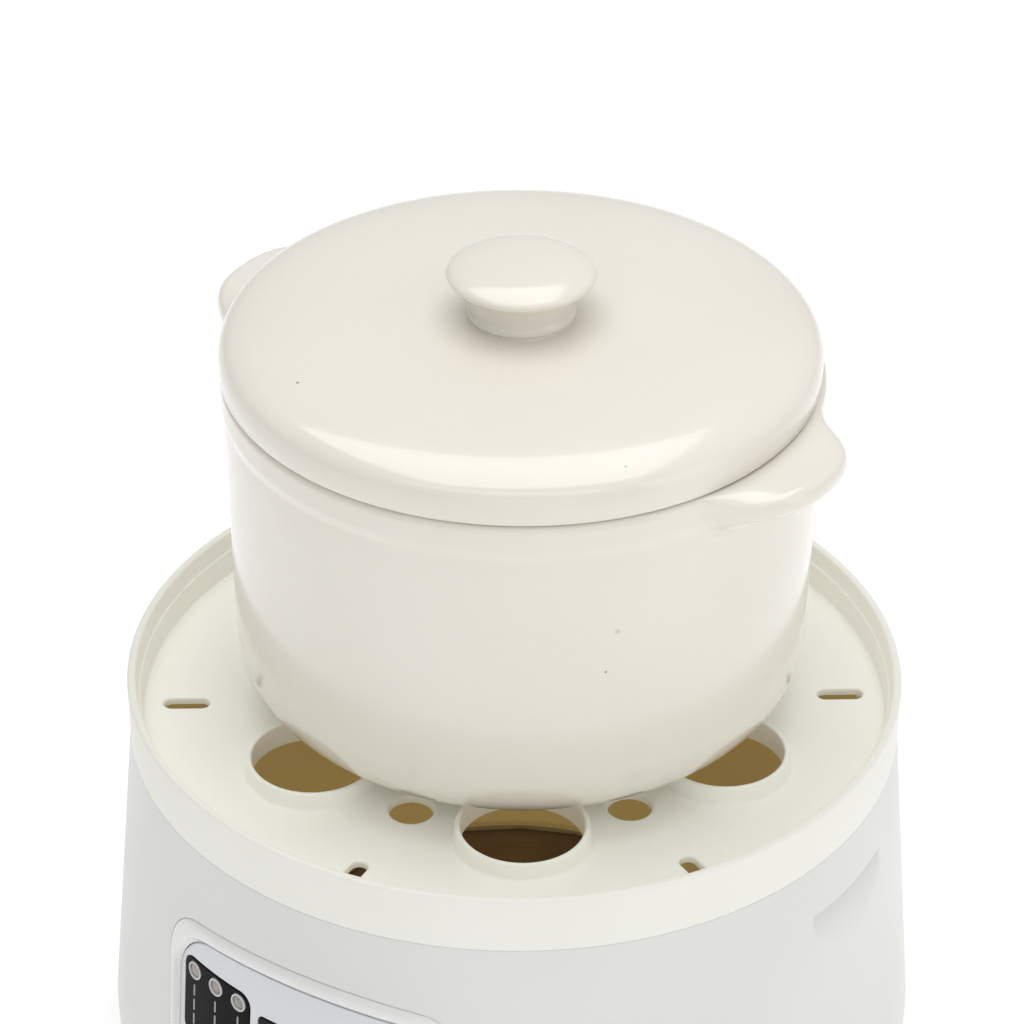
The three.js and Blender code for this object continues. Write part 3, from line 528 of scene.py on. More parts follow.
def tray_plastic():
    """Cream tray; inside its rim it has a painted glow, a weak emission that brightens its floor, collars and
    holes.
    """
    finish = plastic("tray_plastic", (240, 240, 233), (237, 237, 228), 0.29, 0.4, grain=None,
                     Subsurface_Weight=0.12, Subsurface_Scale=0.004, Emission_Color=linear((238, 237, 224)))
    level = finish.node("ShaderNodeVectorMath", {0: finish.place, 1: (1.0, 1.0, 0.0)}, operation="MULTIPLY")
    reach = finish.node("ShaderNodeVectorMath", {0: level.outputs["Vector"]}, operation="LENGTH")
    # Painted glow: weak emission over the floor inside the rim, fading out at the rim.
    painted_glow = finish.spread(reach.outputs["Value"], (rim_radius - 3.2) * MM, (rim_radius - 2.4) * MM, 0.09, 0.0)
    finish.tree.links.new(painted_glow, finish.shader.inputs["Emission Strength"])
    return finish.material


def tank_plastic():
    """Warm moulded liner with faint water marks near its floor."""
    painted_glow = linear((188, 166, 108))  # painted glow: weak emission that brightens the liner where it shows through the tray's holes
    finish = Finish("tank_plastic", Emission_Color=painted_glow, Emission_Strength=0.21)
    base = finish.mottled((200, 178, 128), (190, 168, 112), 9.0)
    finish.colour(finish.specks(base, (120, 98, 60), 60.0, 0.06, 0.03))
    finish.rough(0.4, 0.55, 40.0)
    finish.bump(finish.noise(240.0, 2.0), 0.02, 0.1)
    return finish.material


def brushed_steel(name="steel", tint=(196, 198, 200), shade=(176, 178, 181)):
    """Turned or brushed metal: fine streaks in colour, gloss and relief."""
    finish = Finish(name, Metallic=1.0)
    streaks = finish.noise(40.0, 4.0, (1.0, 30.0, 30.0))
    finish.colour(finish.ramp(streaks, [(0.3, linear(shade)), (0.7, linear(tint))]))
    finish.rough(0.29, 0.42, 160.0)
    finish.bump(streaks, 0.01, 0.3)
    return finish.material


def plate_metal():
    """Heating plate: dull grey-brown coated metal with faint turning marks and darker stains."""
    # The weak emission is a painted glow that lifts the dark plate's brown.
    finish = Finish("plate_metal", Metallic=0.35, Emission_Color=linear((112, 76, 44)),
                    Emission_Strength=0.05)
    rings = finish.node("ShaderNodeTexWave", {"Vector": finish.place, "Scale": 120.0, "Distortion": 0.8},
                        wave_type="RINGS", rings_direction="Z").outputs["Fac"]
    marks = finish.ramp(rings, [(0.0, linear((124, 108, 90))), (1.0, linear((130, 114, 96)))])
    stains = finish.spread(finish.noise(26.0, 3.0), 0.5, 0.72, 0.0, 0.5)
    finish.colour(finish.mix(stains, marks, linear((96, 80, 64))))
    finish.rough(0.5, 0.62, 60.0)
    finish.bump(rings, 0.006, 0.08)
    return finish.material


def rubber():
    finish = Finish("rubber", Specular_IOR_Level=0.3)
    base = finish.mottled((38, 38, 39), (28, 28, 29), 120.0)
    dust = finish.spread(finish.noise(700.0, 4.0), 0.62, 0.8, 0.0, 0.35)
    finish.colour(finish.mix(dust, base, linear((96, 95, 92))))
    finish.rough(0.7, 0.92, 300.0)
    finish.bump(finish.noise(1500.0, 3.0), 0.05, 0.5)
    return finish.material


def silicone():
    return plastic("silicone", (216, 213, 207), (205, 201, 194), 0.5, 0.65, 260.0, 0.02,
                   Subsurface_Weight=0.2, Subsurface_Scale=0.003).material


def board():
    """Circuit board: solder mask over a faint glass weave and darker tracks."""
    finish = Finish("board", Coat_Weight=0.3)
    colours = {"Color1": linear((28, 88, 52)), "Color2": linear((32, 96, 58)),
               "Mortar": linear((46, 120, 74))}
    tracks = finish.node("ShaderNodeTexBrick",
                         {"Vector": finish.place, "Scale": 160.0, **colours, "Mortar Size": 0.03})
    finish.colour(tracks.outputs["Color"])
    finish.rough(0.35, 0.5, 300.0)
    finish.bump(tracks.outputs["Fac"], 0.03, 0.4)
    return finish.material


def component_plastic():
    return plastic("component_plastic", (30, 30, 32), (24, 24, 26), 0.4, 0.55, 300.0, 0.02).material


def lead_plastic():
    return plastic("lead_plastic", (220, 219, 216), (208, 207, 203), 0.4, 0.5, 300.0, 0.01).material


def brass():
    return brushed_steel("brass", (214, 178, 98), (190, 150, 76))


def ink():
    return plastic("ink", (164, 164, 164), (150, 150, 151), 0.5, 0.6, 300.0, 0.004).material


def studio_floor():
    finish = Finish("studio_floor", Emission_Color=(1, 1, 1, 1), Emission_Strength=0.22)
    finish.colour(finish.mottled((252, 252, 252), (250, 250, 250), 3.0))
    finish.rough(0.55, 0.7, 12.0)
    finish.bump(finish.noise(60.0, 2.0), 0.05, 0.05)
    return finish.material


finishes = {
    "housing_plastic": housing_plastic(),
    "bezel_plastic": bezel_plastic(),
    "fascia_plastic": fascia_plastic(),
    "black_gloss": black_gloss(),
    "lamp_plastic": lamp_plastic(),
    "button_plastic": button_plastic(),
    "tray_plastic": tray_plastic(),
    "tank_plastic": tank_plastic(),
    "ceramic": ceramic_glaze(),
    "rubber": rubber(),
    "silicone": silicone(),
    "steel": brushed_steel(),
    "plate_metal": plate_metal(),
    "brass": brass(),
    "board": board(),
    "component_plastic": component_plastic(),
    "lead_plastic": lead_plastic(),
}


# ---------------------------------------------------------------- base housing
def housing_radius(z):
    """Radius of the housing's outside at a height; the lowest stretch rolls in to the bottom edge."""
    z = np.asarray(z, float)
    up = (z - max_height) / (parting - max_height)
    down = np.clip((max_height - z) / (max_height - foot_height), 0, 1)
    low = bottom_radius + (max_radius - bottom_radius) * np.sqrt(1 - down * down)
    return np.where(z >= max_height, max_radius + (top_radius - max_radius) * up, low)


def skin(x, z, offset):
    """The point of the front of the housing's skin seen at (x, z), moved out by offset."""
    x, z = np.asarray(x, float), np.asarray(z, float)
    radius = housing_radius(z) + offset
    return np.stack([x, -np.sqrt(radius ** 2 - x ** 2), z], 1)


grip = {"lip": parting - 19.5, "half": 22.5, "depth": 5.0, "drop": 23.0}


def grip_hollow(angle, z):
    """How far a finger grip presses the wall in: a flat face under a crisp lip, blending out below."""
    radius = housing_radius(z)
    y = radius * np.cos(angle)
    side = radius * np.abs(np.sin(angle))
    below = np.clip((grip["lip"] - z) / grip["drop"], 0, 1)
    top = housing_radius(grip["lip"]) - grip["depth"]
    face = top + (housing_radius(grip["lip"] - grip["drop"]) - top) * (1 - (1 - below) ** 1.7)
    depth = side - face
    soft = 0.35
    depth = (depth + np.sqrt(depth ** 2 + soft ** 2)) / 2
    fade = np.clip((grip["half"] + 1 - np.abs(y)) / 2.0, 0, 1)
    fade = fade * fade * (3 - 2 * fade)
    lip = np.clip((grip["lip"] - z) / 0.5, 0, 1)
    lip = np.sqrt(1 - (1 - lip) ** 2)
    tail = np.clip((z - grip["lip"] + grip["drop"]) / 4.0, 0, 1)
    return depth * fade * lip * tail


# The housing is laid out flat on a disc: the angle is kept, and the reach from the centre falls with height.
DISC = 215.0


def wall_point(u, v, offset):
    angle = np.arctan2(u, -v)  # from the front, positive towards +X
    z = DISC - np.hypot(u, v)
    radius = housing_radius(z) - grip_hollow(angle, z) + offset
    return np.stack([radius * np.sin(angle), -radius * np.cos(angle), z], 1)


def on_disc(angle, z):
    reach = DISC - np.asarray(z, float)
    return np.stack([reach * np.sin(angle), -reach * np.cos(angle)], 1)


def wall_border(outline, back_sign, profile):
    """An opening in the housing's wall, drawn in the front or back view."""
    loops, rings = [], []
    for grow, offset in profile:
        points = outline(grow)
        x, z = points[:, 0], points[:, 1]
        angle = np.arcsin(x / housing_radius(z))
        if back_sign > 0:
            angle = math.pi - angle
        flat = on_disc(angle, z)
        loops.append(flat)
        rings.append(wall_point(flat[:, 0], flat[:, 1], offset))
    return {"face": loops[0], "rings": rings, "back": loops[-1]}


def level_ring(z, offset, radius=None):
    a = np.linspace(0, TAU, COLUMNS, endpoint=False)
    r = housing_radius(z) + offset if radius is None else radius
    return flat_at(r * np.sin(a), -r * np.cos(a), z)


def housing_points():
    """Flat points of the wall: a polar grid, finer under the finger grips."""
    rows = list(foot_height + (max_height - foot_height) * (1 - np.cos(np.radians(np.linspace(8, 90, 12)))))
    rows += list(np.arange(max_height + 3.5, parting - 1.5, 3.5))
    a = np.linspace(0, TAU, COLUMNS, endpoint=False)
    points = [on_disc(a, z) for z in rows]
    flat = np.vstack(points)
    lip = grip["lip"]
    angle = np.arctan2(flat[:, 0], -flat[:, 1])
    z = DISC - np.hypot(flat[:, 0], flat[:, 1])
    along = housing_radius(z) * np.cos(angle)
    near = (np.abs(along) < grip["half"] + 3) & (z < lip + 2) & (z > lip - grip["drop"] - 4)
    flat = flat[~near]
    levels = [lip + 1.2, lip + 0.4, lip, lip - 0.06, lip - 0.2, lip - 0.5, lip - 0.9, lip - 1.5]
    levels += list(np.arange(lip - 2.5, lip - grip["drop"] - 3, -1.25))
    ends = [20.5, 21.2, 21.7, 22.1, 22.5, 22.9, 23.3, 23.8, 24.6]
    places = np.array(sorted([-e for e in ends] + list(np.arange(-19.5, 20, 1.0)) + ends))
    fine = []
    for level in levels:
        turn = np.arcsin(places / float(housing_radius(level)))
        for middle in (math.pi / 2, -math.pi / 2):
            fine.append(on_disc(middle + turn, level))
    return np.vstack([flat, *fine])


panel_edge = arched_rectangle(panel_half, bezel_low[2], bezel_high[2], 15.0, 10.0)


def build_housing():
    """Thin shell: an open top with a ledge for the tank, an open bottom, and openings front and back."""
    shelf = parting - 2.9 - gap
    edge = 0.2
    bottom_rings = [
        level_ring(foot_height + 0.35, 0.0),
        level_ring(foot_height + 0.1, 0, bottom_radius - 0.25 + 0.55),
        level_ring(foot_height, 0, bottom_radius - 0.4),
        level_ring(foot_height, 0, bottom_radius - wall + 0.1),
        level_ring(foot_height + 0.3, 0, bottom_radius - wall),
    ]
    a = np.linspace(0, TAU, COLUMNS, endpoint=False)
    top_z = parting - edge
    mouth = top_radius - wall
    inner_top = shelf - 3.2
    top_rings = [level_ring(top_z - 0.5, 0.0), level_ring(top_z, 0.0)]
    for k in range(1, 4):
        t = math.radians(90 * k / 3)
        radius = top_radius - edge * (1 - math.cos(t))
        top_rings.append(level_ring(top_z + edge * math.sin(t), 0, radius))
    ledge = float(housing_radius(shelf)) - wall - 3.9
    for radius, z in ((mouth, parting), (mouth, shelf), (ledge, shelf), (ledge, shelf - 3.0)):
        top_rings.append(level_ring(z, 0, radius))
    top_rings.append(level_ring(inner_top, -wall))
    borders = [
        {"face": on_disc(a, np.full(COLUMNS, foot_height + 0.35)), "rings": bottom_rings,
         "back": on_disc(a, np.full(COLUMNS, foot_height + 0.3))},
        {"face": on_disc(a, np.full(COLUMNS, top_z - 0.5)), "rings": top_rings,
         "back": on_disc(a, np.full(COLUMNS, inner_top))},
        wall_border(lambda grow: panel_edge(grow + gap), -1, softened(0.45, 0.0, -wall, False)),
        wall_border(round_rectangle(-inlet_half - gap, inlet_half + gap, inlet_mid - inlet_tall - gap,
                                    inlet_mid + inlet_tall + gap, 4.0 + gap, 1.5), 1,
                    softened(0.4, 0.0, -wall, False)),
    ]
    points = housing_points()
    shell = Shell().plate(
        borders,
        lambda u, v: wall_point(u, v, 0.0),
        lambda u, v: wall_point(u, v, -wall),
        points, points,
    )
    piece("housing", shell, "base", "housing_plastic", ["outer_housing"])


# ---------------------------------------------------------------- control panel
window_edge = arched_rectangle(fascia_high[0] + gap, fascia_low[2] - gap, fascia_high[2] + gap, 17.0, 12.0)
fascia_front = -1.2
fascia_back = fascia_front - 2.0
glass_front = fascia_front + 0.2


def build_bezel():
    """Convex frame: a fine groove outside, a soft crown, and a pale lip that steps down to the fascia."""
    crown = 1.2
    profile = [(0.0, -3.0), (0.0, -0.5), (0.012, -0.27), (0.035, -0.05), (0.07, 0.2), (0.12, 0.5)]
    profile += [(0.18, 0.76), (0.26, 1.0), (0.35, 1.14), (0.44, crown), (0.52, crown * 0.985)]
    profile += [(0.58, crown * 0.93), (0.63, crown * 0.82), (0.67, 0.8), (0.71, 0.52), (0.76, 0.16)]
    profile += [(0.81, -0.22), (0.86, -0.6), (0.91, -0.96), (0.95, -1.2), (0.98, -1.45)]
    profile += [(1.0, -1.8), (1.0, -3.0)]
    shell = Shell()
    rings = []
    a, b = panel_edge(), window_edge()
    for share, offset in profile:
        flat = a + (b - a) * share
        rings.append(shell.ring(skin(flat[:, 0], flat[:, 1], offset)))
    for first, second in zip(rings, rings[1:] + rings[:1]):
        shell.strip(first, second)
    piece("bezel", shell, "base", "bezel_plastic", ["control_bezel"])


def outline_of(node, corner, inset=0.0, spacing=2.5, steps=8):
    """The outline of a node's box in the front view, moved in by inset."""
    low, high = span(node)
    return round_rectangle(low[0] + inset, high[0] - inset, low[2] + inset, high[2] - inset, corner,
                           spacing, steps)


def skin_plate(shell, borders, front, back, points=()):
    """A plate that follows the housing's skin, between two depths."""
    return shell.plate(borders, lambda x, z: skin(x, z, front), lambda x, z: skin(x, z, back), points, points)


def build_fascia():
    slip = 0.4
    borders = [edge_of(lambda grow: window_edge(grow - gap),
                       softened(0.25, fascia_front, fascia_back, True, 0.15), skin)]
    for node in ("indicator_strip_left", "indicator_strip_right"):
        borders.append(edge_of(outline_of(node, strip_corner, -gap),
                               softened(0.2, fascia_front, fascia_back, False, 0.1), skin))
    borders.append(edge_of(outline_of("display_window", display_corner, -gap),
                           softened(0.35, fascia_front, fascia_back, False), skin))
    for outline in button_outlines:
        borders.append(edge_of(lambda grow, o=outline: o(grow + slip),
                               softened(0.35, fascia_front, fascia_back, False), skin))
    points = grid(fascia_low[0], fascia_high[0], fascia_low[2], fascia_high[2], 2.5)
    shell = skin_plate(Shell(), borders, fascia_front, fascia_back, points)
    piece("fascia", shell, "base", "fascia_plastic", ["panel_fascia"])


def lamp_place(node):
    low, high = span(node)
    return (low[0] + high[0]) / 2, (low[2] + high[2]) / 2, (high[0] - low[0]) / 2


def build_strips():
    for label in ("left", "right"):
        node = f"indicator_strip_{label}"
        borders = [edge_of(outline_of(node, strip_corner - gap),
                           softened(0.3, glass_front, fascia_back, True, 0.2), skin)]
        for i in (1, 2, 3):
            x, z, radius = lamp_place(f"lamp_{label}_{i}")
            borders.append(edge_of(circle(x, z, radius + 0.3, 32),
                                   softened(0.12, glass_front, fascia_back, False, 0.1, 3), skin))
        low, high = span(node)
        points = grid(low[0], high[0], low[2], high[2], 2.2)
        shell = skin_plate(Shell(), borders, glass_front, fascia_back, points)
        piece(f"strip_{label}", shell, "base", "black_gloss", [node])


def lamp_lens(tint, index):
    """The lens of one lamp, tinted."""
    finish = Finish(f"lamp_lens_{index}", Coat_Weight=0.5, Coat_Roughness=0.05)
    shade = tuple(c * 0.82 for c in tint)
    finish.colour(finish.mottled(tint, shade, 700.0))
    finish.rough(0.15, 0.25, 500.0)
    finish.bump(finish.noise(400.0, 2.0), 0.02, 0.15)
    return finish.material


def skin_circles(shell, x, z, profile):
    """Circles of (radius, depth) round a point of the skin, joined one to the next."""
    rings = []
    for radius, offset in profile:
        flat = circle(x, z, radius, 40)()
        rings.append(shell.ring(skin(flat[:, 0], flat[:, 1], offset)))
    for a, b in zip(rings, rings[1:]):
        shell.strip(a, b)
    return rings


def build_lamps():
    tints = [(156, 154, 144), (168, 152, 145), (176, 154, 150)]
    lenses = [lamp_lens(tint, i + 1) for i, tint in enumerate(tints)]
    ring_finish = ring_plastic()
    face = fascia_front + 0.6
    for label in ("left", "right"):
        for i in (1, 2, 3):
            node = f"lamp_{label}_{i}"
            x, z, radius = lamp_place(node)
            hole = radius - 0.7
            ring = Shell()
            profile = [(radius, fascia_back - 3), (radius, face - 0.35), (radius - 0.1, face - 0.12),
                       (radius - 0.25, face), (hole + 0.2, face), (hole + 0.06, face - 0.1),
                       (hole, face - 0.3), (hole, face - 1.2), (hole, fascia_back - 3)]
            rings = skin_circles(ring, x, z, profile)
            ring.strip(rings[-1], rings[0])
            piece(f"lamp_ring_{label}_{i}", ring, "base", "button_plastic", material=ring_finish)
            lens = Shell()
            dome = [(hole - 0.02, fascia_back - 2.5), (hole - 0.02, face - 0.9), (hole * 0.9, face - 0.7),
                    (hole * 0.7, face - 0.52), (hole * 0.45, face - 0.42), (hole * 0.2, face - 0.38)]
            rings = skin_circles(lens, x, z, dome)
            lens.fan(rings[-1], lens.ring(skin([x], [z], face - 0.37))[0])
            lens.fan(rings[0], lens.ring(skin([x], [z], fascia_back - 2.5))[0])
            piece(f"lamp_lens_{label}_{i}", lens, "base", "lamp_plastic", [node], lenses[i - 1])


def build_marks():
    """Plain printed bars beside the lamps, thin ink on the strips."""
    length, pitch = 4.6, 5.9
    face, back = glass_front + 0.05, glass_front - 0.1
    shell = Shell()
    for label in ("left", "right"):
        for i in (1, 2, 3):
            x, z, radius = lamp_place(f"lamp_{label}_{i}")
            top = z - radius - 2.4
            for k in range(3):
                high = top - k * pitch
                bar = round_rectangle(x - 0.4, x + 0.4, high - length, high, 0.35, 1.0, 4)
                skin_plate(shell, [edge_of(bar, [(0.0, face), (0.0, back)], skin)], face, back)
    piece("strip_marks", shell, "base", "button_plastic", material=ink())


def build_display():
    low, high = span("display_window")
    points = grid(low[0], high[0], low[2], high[2], 2.0)
    border = edge_of(outline_of("display_window", display_corner - gap),
                     softened(0.3, glass_front, fascia_back), skin)
    shell = skin_plate(Shell(), [border], glass_front, fascia_back, points)
    piece("display", shell, "base", "black_gloss", ["display_window"], display_glass())


def display_glass():
    """Smoked glass, warmer and a little browner than the strips."""
    return plastic("display_glass", (24, 17, 14), (18, 13, 11), 0.16, 0.24, grain=None,
                   Specular_IOR_Level=0.15).material


def build_segments():
    """Unlit digit segments, just visible behind the display's glass."""
    low, high = span("display_window")
    centre_x, centre_z = (low[0] + high[0]) / 2, (low[2] + high[2]) / 2
    face, back = glass_front + 0.03, glass_front - 0.1
    tall, wide, bar = 9.0, 4.4, 0.8
    finish = plastic("segments", (52, 42, 38), (46, 37, 34), 0.3, 0.4).material
    shell = Shell()

    def segment(x0, x1, z0, z1):
        outline = round_rectangle(x0, x1, z0, z1, 0.3, 1.0, 3)
        skin_plate(shell, [edge_of(outline, [(0.0, face), (0.0, back)], skin)], face, back)

    for middle in (-9.6, -3.6, 3.6, 9.6):
        x0, x1 = centre_x + middle - wide / 2, centre_x + middle + wide / 2
        for level in (-1, 0, 1):
            z = centre_z + level * (tall - bar) / 2
            segment(x0 + bar, x1 - bar, z - bar / 2, z + bar / 2)
        for x in (x0, x1 - bar):
            segment(x, x + bar, centre_z + bar * 0.8, centre_z + tall / 2 - bar * 0.6)
            segment(x, x + bar, centre_z - tall / 2 + bar * 0.6, centre_z - bar * 0.8)
    for z in (-1.8, 1.8):
        segment(centre_x - 0.5, centre_x + 0.5, centre_z + z - 0.5, centre_z + z + 0.5)
    piece("display_segments", shell, "base", "black_gloss", material=finish)


def button_box(i):
    """The button's cap in the front view: the CAD node's box less its hidden flange."""
    low, high = span(f"button_{i}")
    return low[0] + 1.5, high[0] - 1.5, low[2] + 1.5, high[2] - 1.5


button_outlines = [round_rectangle(*button_box(i), 4.5, 1.5, 14) for i in range(1, 5)]


def build_buttons():
    """Slim caps with a dished top and a rounded edge."""
    front = fascia_front + 0.9
    for i, outline in enumerate(button_outlines, 1):
        low_x, high_x, low_z, high_z = button_box(i)
        middle = (low_z + high_z) / 2
        half = (high_z - low_z) / 2

        def face(x, z, half=half, middle=middle):
            share = np.clip(np.abs(z - middle) / half, 0, 1)
            return skin(x, z, front - 0.28 * (1 - share ** 2))

        steps = 5
        outer = [(0.0, fascia_back + 0.1), (0.0, front - 0.45)]
        outer += [(-0.45 * (1 - math.cos(math.radians(90 * k / steps))),
                   front - 0.45 + 0.45 * math.sin(math.radians(90 * k / steps))) for k in range(1, steps + 1)]
        border = edge_of(outline, outer[::-1], skin)
        top = outline(-0.45)
        border["rings"][0] = face(top[:, 0], top[:, 1])
        inner = outline(-0.9)
        border["face"] = inner
        border["rings"].insert(0, face(inner[:, 0], inner[:, 1]))
        points = grid(low_x, high_x, low_z, high_z, 1.2)
        shell = Shell().plate([border], face, lambda x, z: skin(x, z, fascia_back + 0.1), points, points)
        piece(f"button_cap_{i}", shell, f"key_{i}", "button_plastic", [f"button_{i}"])


# ---------------------------------------------------------------- steam tray
tray_turn = 4.2  # degrees that the pattern of holes is turned from the front
cup_radius, cup_ring = 21.0, 81.2
steam_radius, steam_ring = 7.6, 74.0
slot_half_width, slot_half_length, slot_ring = 3.0, 8.0, 114.7
tray_floor = parting + 5.5
collar_top = tray_floor + 6.2
tray_under = tray_floor - 2.8


def from_front(degrees, radius):
    a = math.radians(degrees)
    return radius * math.sin(a), -radius * math.cos(a)


def flat_at(x, y, z):
    return np.stack([np.asarray(x, float), np.asarray(y, float), np.full(len(x), float(z))], 1)


def flat_plate(borders, face, back, points):
    """A level plate between two heights."""
    return Shell().plate(borders, lambda x, y: flat_at(x, y, face), lambda x, y: flat_at(x, y, back),
                         points, points)


def build_tray():
    """Rim, floor, cup collars and steam holes as one moulding."""
    inner = rim_radius - 3.6
    skirt = 124.5
    bottom = parting + 0.08
    rim = rounded([
        (inner - 2.6, tray_floor), (inner - 1.45, tray_floor, 1.0), (inner - 0.9, rim_top - 6.9, 0.5),
        (inner - 0.1, rim_top - 6.6, 0.5), (inner + 0.55, rim_top, 1.0), (rim_radius, rim_top, 1.2),
        (top_radius, bottom, 0.12), (inner - 0.3, bottom, 0.2), (inner - 0.5, tray_under),
        (skirt, tray_under), (skirt, parting - 5.5, 0.4), (skirt - 1.4, parting - 5.5, 0.4),
        (skirt - 1.6, tray_under),
    ], closed=False)
    a = np.linspace(0, TAU, COLUMNS, endpoint=False)
    rings = [flat_at(r * np.cos(a), r * np.sin(a), z) for r, z in rim]
    borders = [{"face": rings[0][:, :2], "rings": rings, "back": rings[-1][:, :2]}]
    thick = 2.0
    collar = rounded([
        (thick + 2.2, tray_floor), (thick + 0.25, tray_floor, 1.0), (thick - 0.3, collar_top, 0.7),
        (0.0, collar_top, 0.7), (0.0, tray_under, 0.3), (0.6, tray_under),
    ], closed=False)
    small = [(1.6, tray_floor), (1.0, tray_floor)]
    small += [(1.0 * (1 - math.sin(math.radians(t))), tray_floor - 1.0 * (1 - math.cos(math.radians(t))))
              for t in (22.5, 45, 67.5, 90)]
    small += [(0.0, tray_under)]
    for i in range(6):
        x, y = from_front(tray_turn + 30 + 60 * i, cup_ring)
        borders.append(edge_of(circle(x, y, cup_radius, 96), collar, flat_at))
        x, y = from_front(tray_turn + 60 * i, steam_ring)
        borders.append(edge_of(circle(x, y, steam_radius, 56), small, flat_at))
        slot = round_rectangle(-slot_half_width, slot_half_width, -slot_ring - slot_half_length,
                               slot_half_length - slot_ring, slot_half_width, 1.2, 10)
        borders.append(edge_of(turned_outline(slot, tray_turn + 60 * i), small, flat_at))
    points = grid(-inner, inner, -inner, inner, 5.0)
    shell = flat_plate(borders, tray_floor, tray_under, points)
    piece("tray", shell, "tray", "tray_plastic", ["steam_tray"])


# ---------------------------------------------------------------- crock and lid
def ear_share(angle):
    """How much of an ear stands at each angle: two soft points, on +X and -X."""
    half = math.radians(22.5)
    away = np.asarray(angle) - math.radians(ear_turn)
    away = np.abs((away + math.pi / 2) % math.pi - math.pi / 2) / half
    return (1 - np.clip(away, 0, 1) ** 3) ** 2.4


def crock_sections():
    """Plain and ear outlines, point for point, from the rim's inside over the rim to the wall below."""
    top = crock_top
    bead = top - 11.5
    r = bead_radius
    plain = [(r - 6.0, top, 1.2), (r, top, 2.6), (r, bead + 2.2, 5.0), (crock_radius, bead - 1.8, 5.0),
             (crock_radius, bead - 6.0), (crock_radius - 0.02, bead - 10.0)]
    tip = r + ear_length
    lug = [(r - 6.0, top, 1.2), (tip, top - 0.4, 3.6), (tip, top - 7.6, 3.4),
           (crock_radius + 3.0, top - 14.0, 5.0), (crock_radius, bead - 6.4),
           (crock_radius - 0.02, bead - 10.0)]
    return plain, lug


def even(points, count):
    """The same line, cut into equal steps."""
    points = np.array(points)
    length = np.concatenate([[0], np.cumsum(np.linalg.norm(np.diff(points, axis=0), axis=1))])
    at = np.linspace(0, length[-1], count)
    return np.stack([np.interp(at, length, points[:, k]) for k in (0, 1)], 1)


def build_crock():
    """Turned pot with a rolled rim bead; the ears swell out of the bead's outline."""
    base, top = crock_base, crock_top
    taper = 2.0  # of the wall, from top to bottom
    thick = 6.0
    low = crock_radius - taper
    plain, lug = crock_sections()
    count = 44
    start = (crock_radius - thick, top - 3.0)
    plain_line = even(rounded([start] + plain, closed=False, step=9), count)
    lug_line = even(rounded([start] + lug, closed=False, step=9), count)
    bottom = 25.0
    outer = [(crock_radius - taper * (1 - t), base + bottom + (top - 21.5 - base - bottom) * t)
             for t in np.linspace(0.96, 0.0, 16)]
    outer += arc((low - bottom, base + bottom), bottom, 0, -84, 16)[1:]
    foot = low - bottom - 6.0
    outer += rounded([(foot + 7.0, base + 0.35), (foot + 1.0, base, 1.0), (foot - 3.0, base, 1.0),
                      (foot - 4.5, base + 1.3, 0.8), (0.0, base + 1.3)], closed=False)
    floor = base + 7.0
    round_in = 21.0
    centre = (low - thick - round_in, floor + round_in)
    inner = [(0.0, floor), (20.0, floor), (45.0, floor)] + arc(centre, round_in, -90, 0, 14)
    inner += [(low - thick + 2.0 * t, centre[1] + (top - 4.0 - centre[1]) * t)
              for t in np.linspace(0.1, 0.98, 10)]
    head = len(inner)
    profile = inner + [tuple(p) for p in plain_line] + outer
    offsets = np.zeros((len(profile), 2))
    offsets[head:head + count] = lug_line - plain_line

    def shape(k, angles, radii, heights):
        share = ear_share(angles)
        return radii + offsets[k, 0] * share, heights + offsets[k, 1] * share

    shell = Shell().turn(profile, closed=False, columns=432, centre=crock_centre[:2], shape=shape)
    piece("pot", shell, "pot", "ceramic", ["crock"], crease=50)


def build_lid():
    """Domed lid with a mushroom knob, a rounded edge and a locating lip below."""
    lip_inset, lip_wall, lip_depth = 9.8, 4.5, 6.0
    base = lid_low[2] + lip_depth
    edge = base + 1.0
    dome, power = 18.0, 4.35
    radius = lid_radius
    knob_top = lid_high[2]
    dome_top = edge + dome
    neck, cap = 18.3, 25.2

    def height(s):
        return edge + dome * (1 - s ** power) ** (1 / power)

    shares = list(np.linspace(0.26, 0.8, 22)) + list(1 - 0.2 * (1 - np.linspace(0.06, 1, 30)) ** 1.7)
    top = [(0.0, knob_top), (6.0, knob_top - 0.12), (11.0, knob_top - 0.4), (15.5, knob_top - 0.9),
           (19.0, knob_top - 1.6), (21.8, knob_top - 2.5), (23.7, knob_top - 3.4), (24.8, knob_top - 4.2),
           (cap, knob_top - 5.0), (24.9, knob_top - 5.9), (24.0, knob_top - 6.7), (22.6, knob_top - 7.4),
           (20.8, knob_top - 8.0)]
    under = rounded([
        (20.8, knob_top - 8.0), (neck - 0.4, knob_top - 9.0, 1.2), (neck - 0.9, dome_top + 4.4, 1.0),
        (neck, dome_top + 3.2, 1.2), (neck + 0.2, dome_top + 1.4, 1.0), (neck - 1.3, dome_top + 0.1, 0.8),
        (neck + 1.2, dome_top - 0.02, 1.0), (neck + 5.0, height((neck + 5.0) / radius)),
    ], closed=False)
    outer = [(radius * s, height(s)) for s in shares if s < 1] + [(radius, edge)]
    lip_outer = radius - lip_inset
    lip_inner = lip_outer - lip_wall
    rim = rounded([(radius, edge), (radius - 0.8, base, 0.5), (lip_outer, base, 0.6),
                   (lip_outer - 0.5, base - lip_depth, 1.2), (lip_inner + 0.3, base - lip_depth, 1.2),
                   (lip_inner, base)],
                  closed=False)
    ceiling = [(lip_inner * s, base + 13.0 * (1 - s ** power) ** (1 / power)) for s in
               list(1 - 0.3 * np.linspace(0.02, 1, 16) ** 1.6) + [0.55, 0.4, 0.25, 0.1, 0.0]]
    profile = top + under[1:-1] + outer + rim[1:] + ceiling
    shell = Shell().turn(profile, closed=False, columns=360, centre=lid_centre[:2])
    piece("lid", shell, "lid", "ceramic", ["crock_lid"], crease=50)


